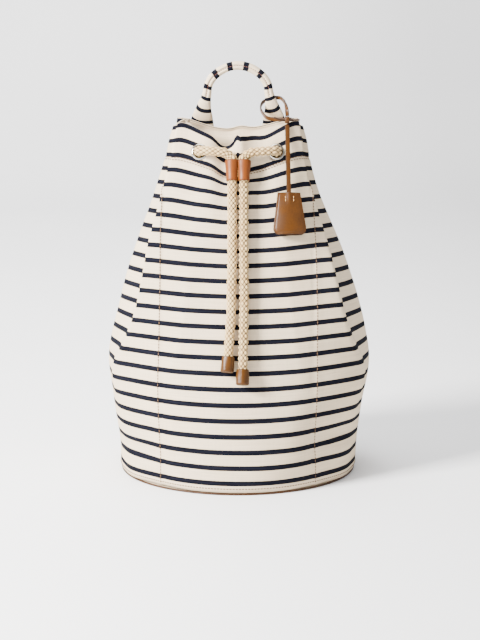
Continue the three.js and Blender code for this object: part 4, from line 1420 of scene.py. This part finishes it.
def make_hanging_strap(paint):
    """The hanging strap, with the thickening where its end is skived and glued."""
    foot = RING_EYE_DROP + 3 * MM
    drops = np.concatenate([np.linspace(-2.8 * MM, 4 * MM, 9), np.linspace(5 * MM, foot, 90)])
    out = 0.5 * MM * bell_curve(drops, 37 * MM, 3.5 * MM) + 0.15 * MM * np.sin(drops / (13 * MM))
    line = np.array([in_hang(drop, swell) for drop, swell in zip(drops, out)])
    half = STRAP["width"] / 2
    round_end = np.sqrt(np.clip(1 - (np.clip(-drops, 0, half * 0.98) / half) ** 2, 0.02, 1))
    across = np.tile(-hang_side, (len(line), 1))
    width = STRAP["width"] * round_end
    strap = strap_piece("hanging_strap", line, across, width, STRAP["thickness"], paint)
    fit(strap, "strap", "strap_leather", "key_strap")


# Half the bell's width and half its hollow, from the top edge down.
BELL_OUTLINE = (
    (0, 0.0142, 0.0019), (0.014, 0.0162, 0.0032), (0.028, 0.0182, 0.0040), (0.043, 0.0203, 0.0044),
    (0.0475, 0.0200, 0.0042), (0.0503, 0.0183, 0.0038), (0.0520, 0.0160, 0.0036), (0.0526, 0.0136, 0.0034),
)


def bell_layer(side, drops, half, hollow):
    """The outer face of the bell's front (side 1) or back (side -1)."""
    across = np.linspace(-1, 1, 57)
    grid = np.zeros((len(drops), len(across), 3))
    for j, drop in enumerate(drops):
        above = drop if side > 0 else math.inf
        for i, u in enumerate(across):
            place = u * half[j]
            to_edge = min(half[j] - abs(place), above, BELL["height"] - drop)
            groove = 0.32 * MM * bell_curve(to_edge, 2.3 * MM, 0.42 * MM)
            channel = 1.3 * MM * bell_curve(place, 0, 3.4 * MM) * (1 - smooth_step(0.006, 0.020, drop))
            depth = BELL["gap"] / 2 + hollow[j] * (1 - u * u) + BELL["leather"] - groove
            depth += channel * (1 if side > 0 else 0.4)
            grid[j, i] = in_hang(BELL["start"] + drop, side * depth, place)
    return grid[:, ::side]


def make_bell(paint, thread):
    outline = np.array(BELL_OUTLINE)
    straight = BELL_OUTLINE[3][0]
    drops = np.concatenate([
        np.linspace(0, straight, 52, endpoint=False), np.linspace(straight, BELL["height"], 26),
    ])
    half, hollow = (cubic(outline[:, 0], outline[:, k], drops) for k in (1, 2))
    for side, name in ((1, "front"), (-1, "back")):
        grid = bell_layer(side, drops, half, hollow)
        layer = closed_sheet(f"bell_leather_{name}", grid, BELL["leather"], paint, edge_width=0.5 * MM)
        fit(layer, "bell", "strap_leather", f"bell_{name}")
    tacks = []
    for place in (-5.0 * MM, 5.0 * MM):
        u = place / (15 * MM)
        down = np.linspace(4.5 * MM, 12.5 * MM, 9)
        swell = np.interp(down, outline[:, 0], outline[:, 2]) * (1 - u * u)
        depth = BELL["gap"] / 2 + swell + BELL["leather"] + 0.35 * MM
        path = np.array([in_hang(BELL["start"] + d, r, place) for d, r in zip(down, depth)])
        tacks.append((path, np.tile(hang_out, (len(path), 1))))
    stitches("bell_tacks", tacks, thread, "bell", 3.2 * MM, 0.5 * MM, 0.9 * MM)


# ---------------------------------------------------------------- base

WELT = 1.3 * MM             # radius of the piping round the base


def make_base(canvas, piping, thread):
    radius, centre_hole = BASE_RADIUS - 4 * MM, 0.5 * MM
    outline = ((centre_hole, 0), (radius, 0), (radius, CLOTH), (centre_hole, CLOTH))
    flat = [centre_hole, *np.linspace(10 * MM, radius - 2 * MM, 16)]
    rings = [(r, 0.0) for r in flat]
    rings += rounded(outline, 0.6 * MM)[3:9]            # its two outer corners, 3 points each
    rings += [(r, CLOTH) for r in reversed(flat)]
    points, faces = lathe(rings, 128)
    faces = turned_over(faces)
    corners = np.array([points[index][:2] for face in faces for index in face])
    cloth = mesh_object("base_panel_cloth", points, faces, [canvas], corners)
    fit(cloth, "bag", "plain_canvas", "base_panel")
    middle = BASE_RADIUS - 2 * MM
    tube = [(middle + WELT * math.cos(a), WELT + WELT * math.sin(a)) for a in full_turn(14)]
    points, faces = lathe(tube, 240)
    edge = np.zeros(len(points))
    welt = mesh_object("base_welt", points, turned_over(faces), [piping], attributes={"edge": edge})
    fit(welt, "bag", "piping_leather", "base_piping")
    turn = np.linspace(0, 2 * math.pi, 300)
    row = radius - 6 * MM
    path = np.column_stack([row * np.cos(turn), row * np.sin(turn), np.full(len(turn), 0.25 * MM)])
    normals = np.tile((0, 0, -1.0), (len(turn), 1))
    stitches("base_stitching", [(path, normals)], thread, "bag")


# ---------------------------------------------------------------- finish

def main():
    # The camera and the cords come first, and the caps before the cords that end in them.
    make_camera()
    cap = leather_paint("cap_leather", linear(75, 43, 5), linear(51, 28, 3), 0.38)
    rope = rope_paint()
    make_end_caps(cap)
    make_cords(rope)
    make_studio()
    make_floor()
    striped = canvas_paint("striped_canvas", STRIPE)
    handle_canvas = canvas_paint("handle_canvas", HANDLE_STRIPE)
    plain = canvas_paint("plain_canvas", colour=linear(209, 190, 162))
    nickel = metal_paint("pale_nickel", (0.42, 0.40, 0.36), 0.16)
    tan = leather_paint("tan_leather", linear(72, 40, 4), linear(52, 27, 2), 0.38)
    pale = leather_paint("slider_leather", linear(107, 54, 11), linear(90, 42, 7), 0.45)
    brown = leather_paint("piping_leather", linear(66, 42, 24), linear(46, 28, 14), 0.6)
    thread = thread_paint("tan_thread", linear(92, 64, 36))
    pink = thread_paint("rose_thread", linear(104, 58, 44))
    light = thread_paint("light_thread", linear(206, 156, 98))
    shell = make_canvas(striped, plain)
    make_shell_stitches(shell, thread)
    make_facing(shell, plain)
    make_hidden_cord(rope)
    make_base(plain, brown, thread)
    repaint("base_board", board_paint())
    make_eyelets(nickel)
    make_slider(pale, light)
    make_handle(handle_canvas, pink)
    make_loop(tan)
    make_eye(tan)
    make_hanging_strap(tan)
    repaint("key_ring", nickel)
    make_bell(tan, light)


main()
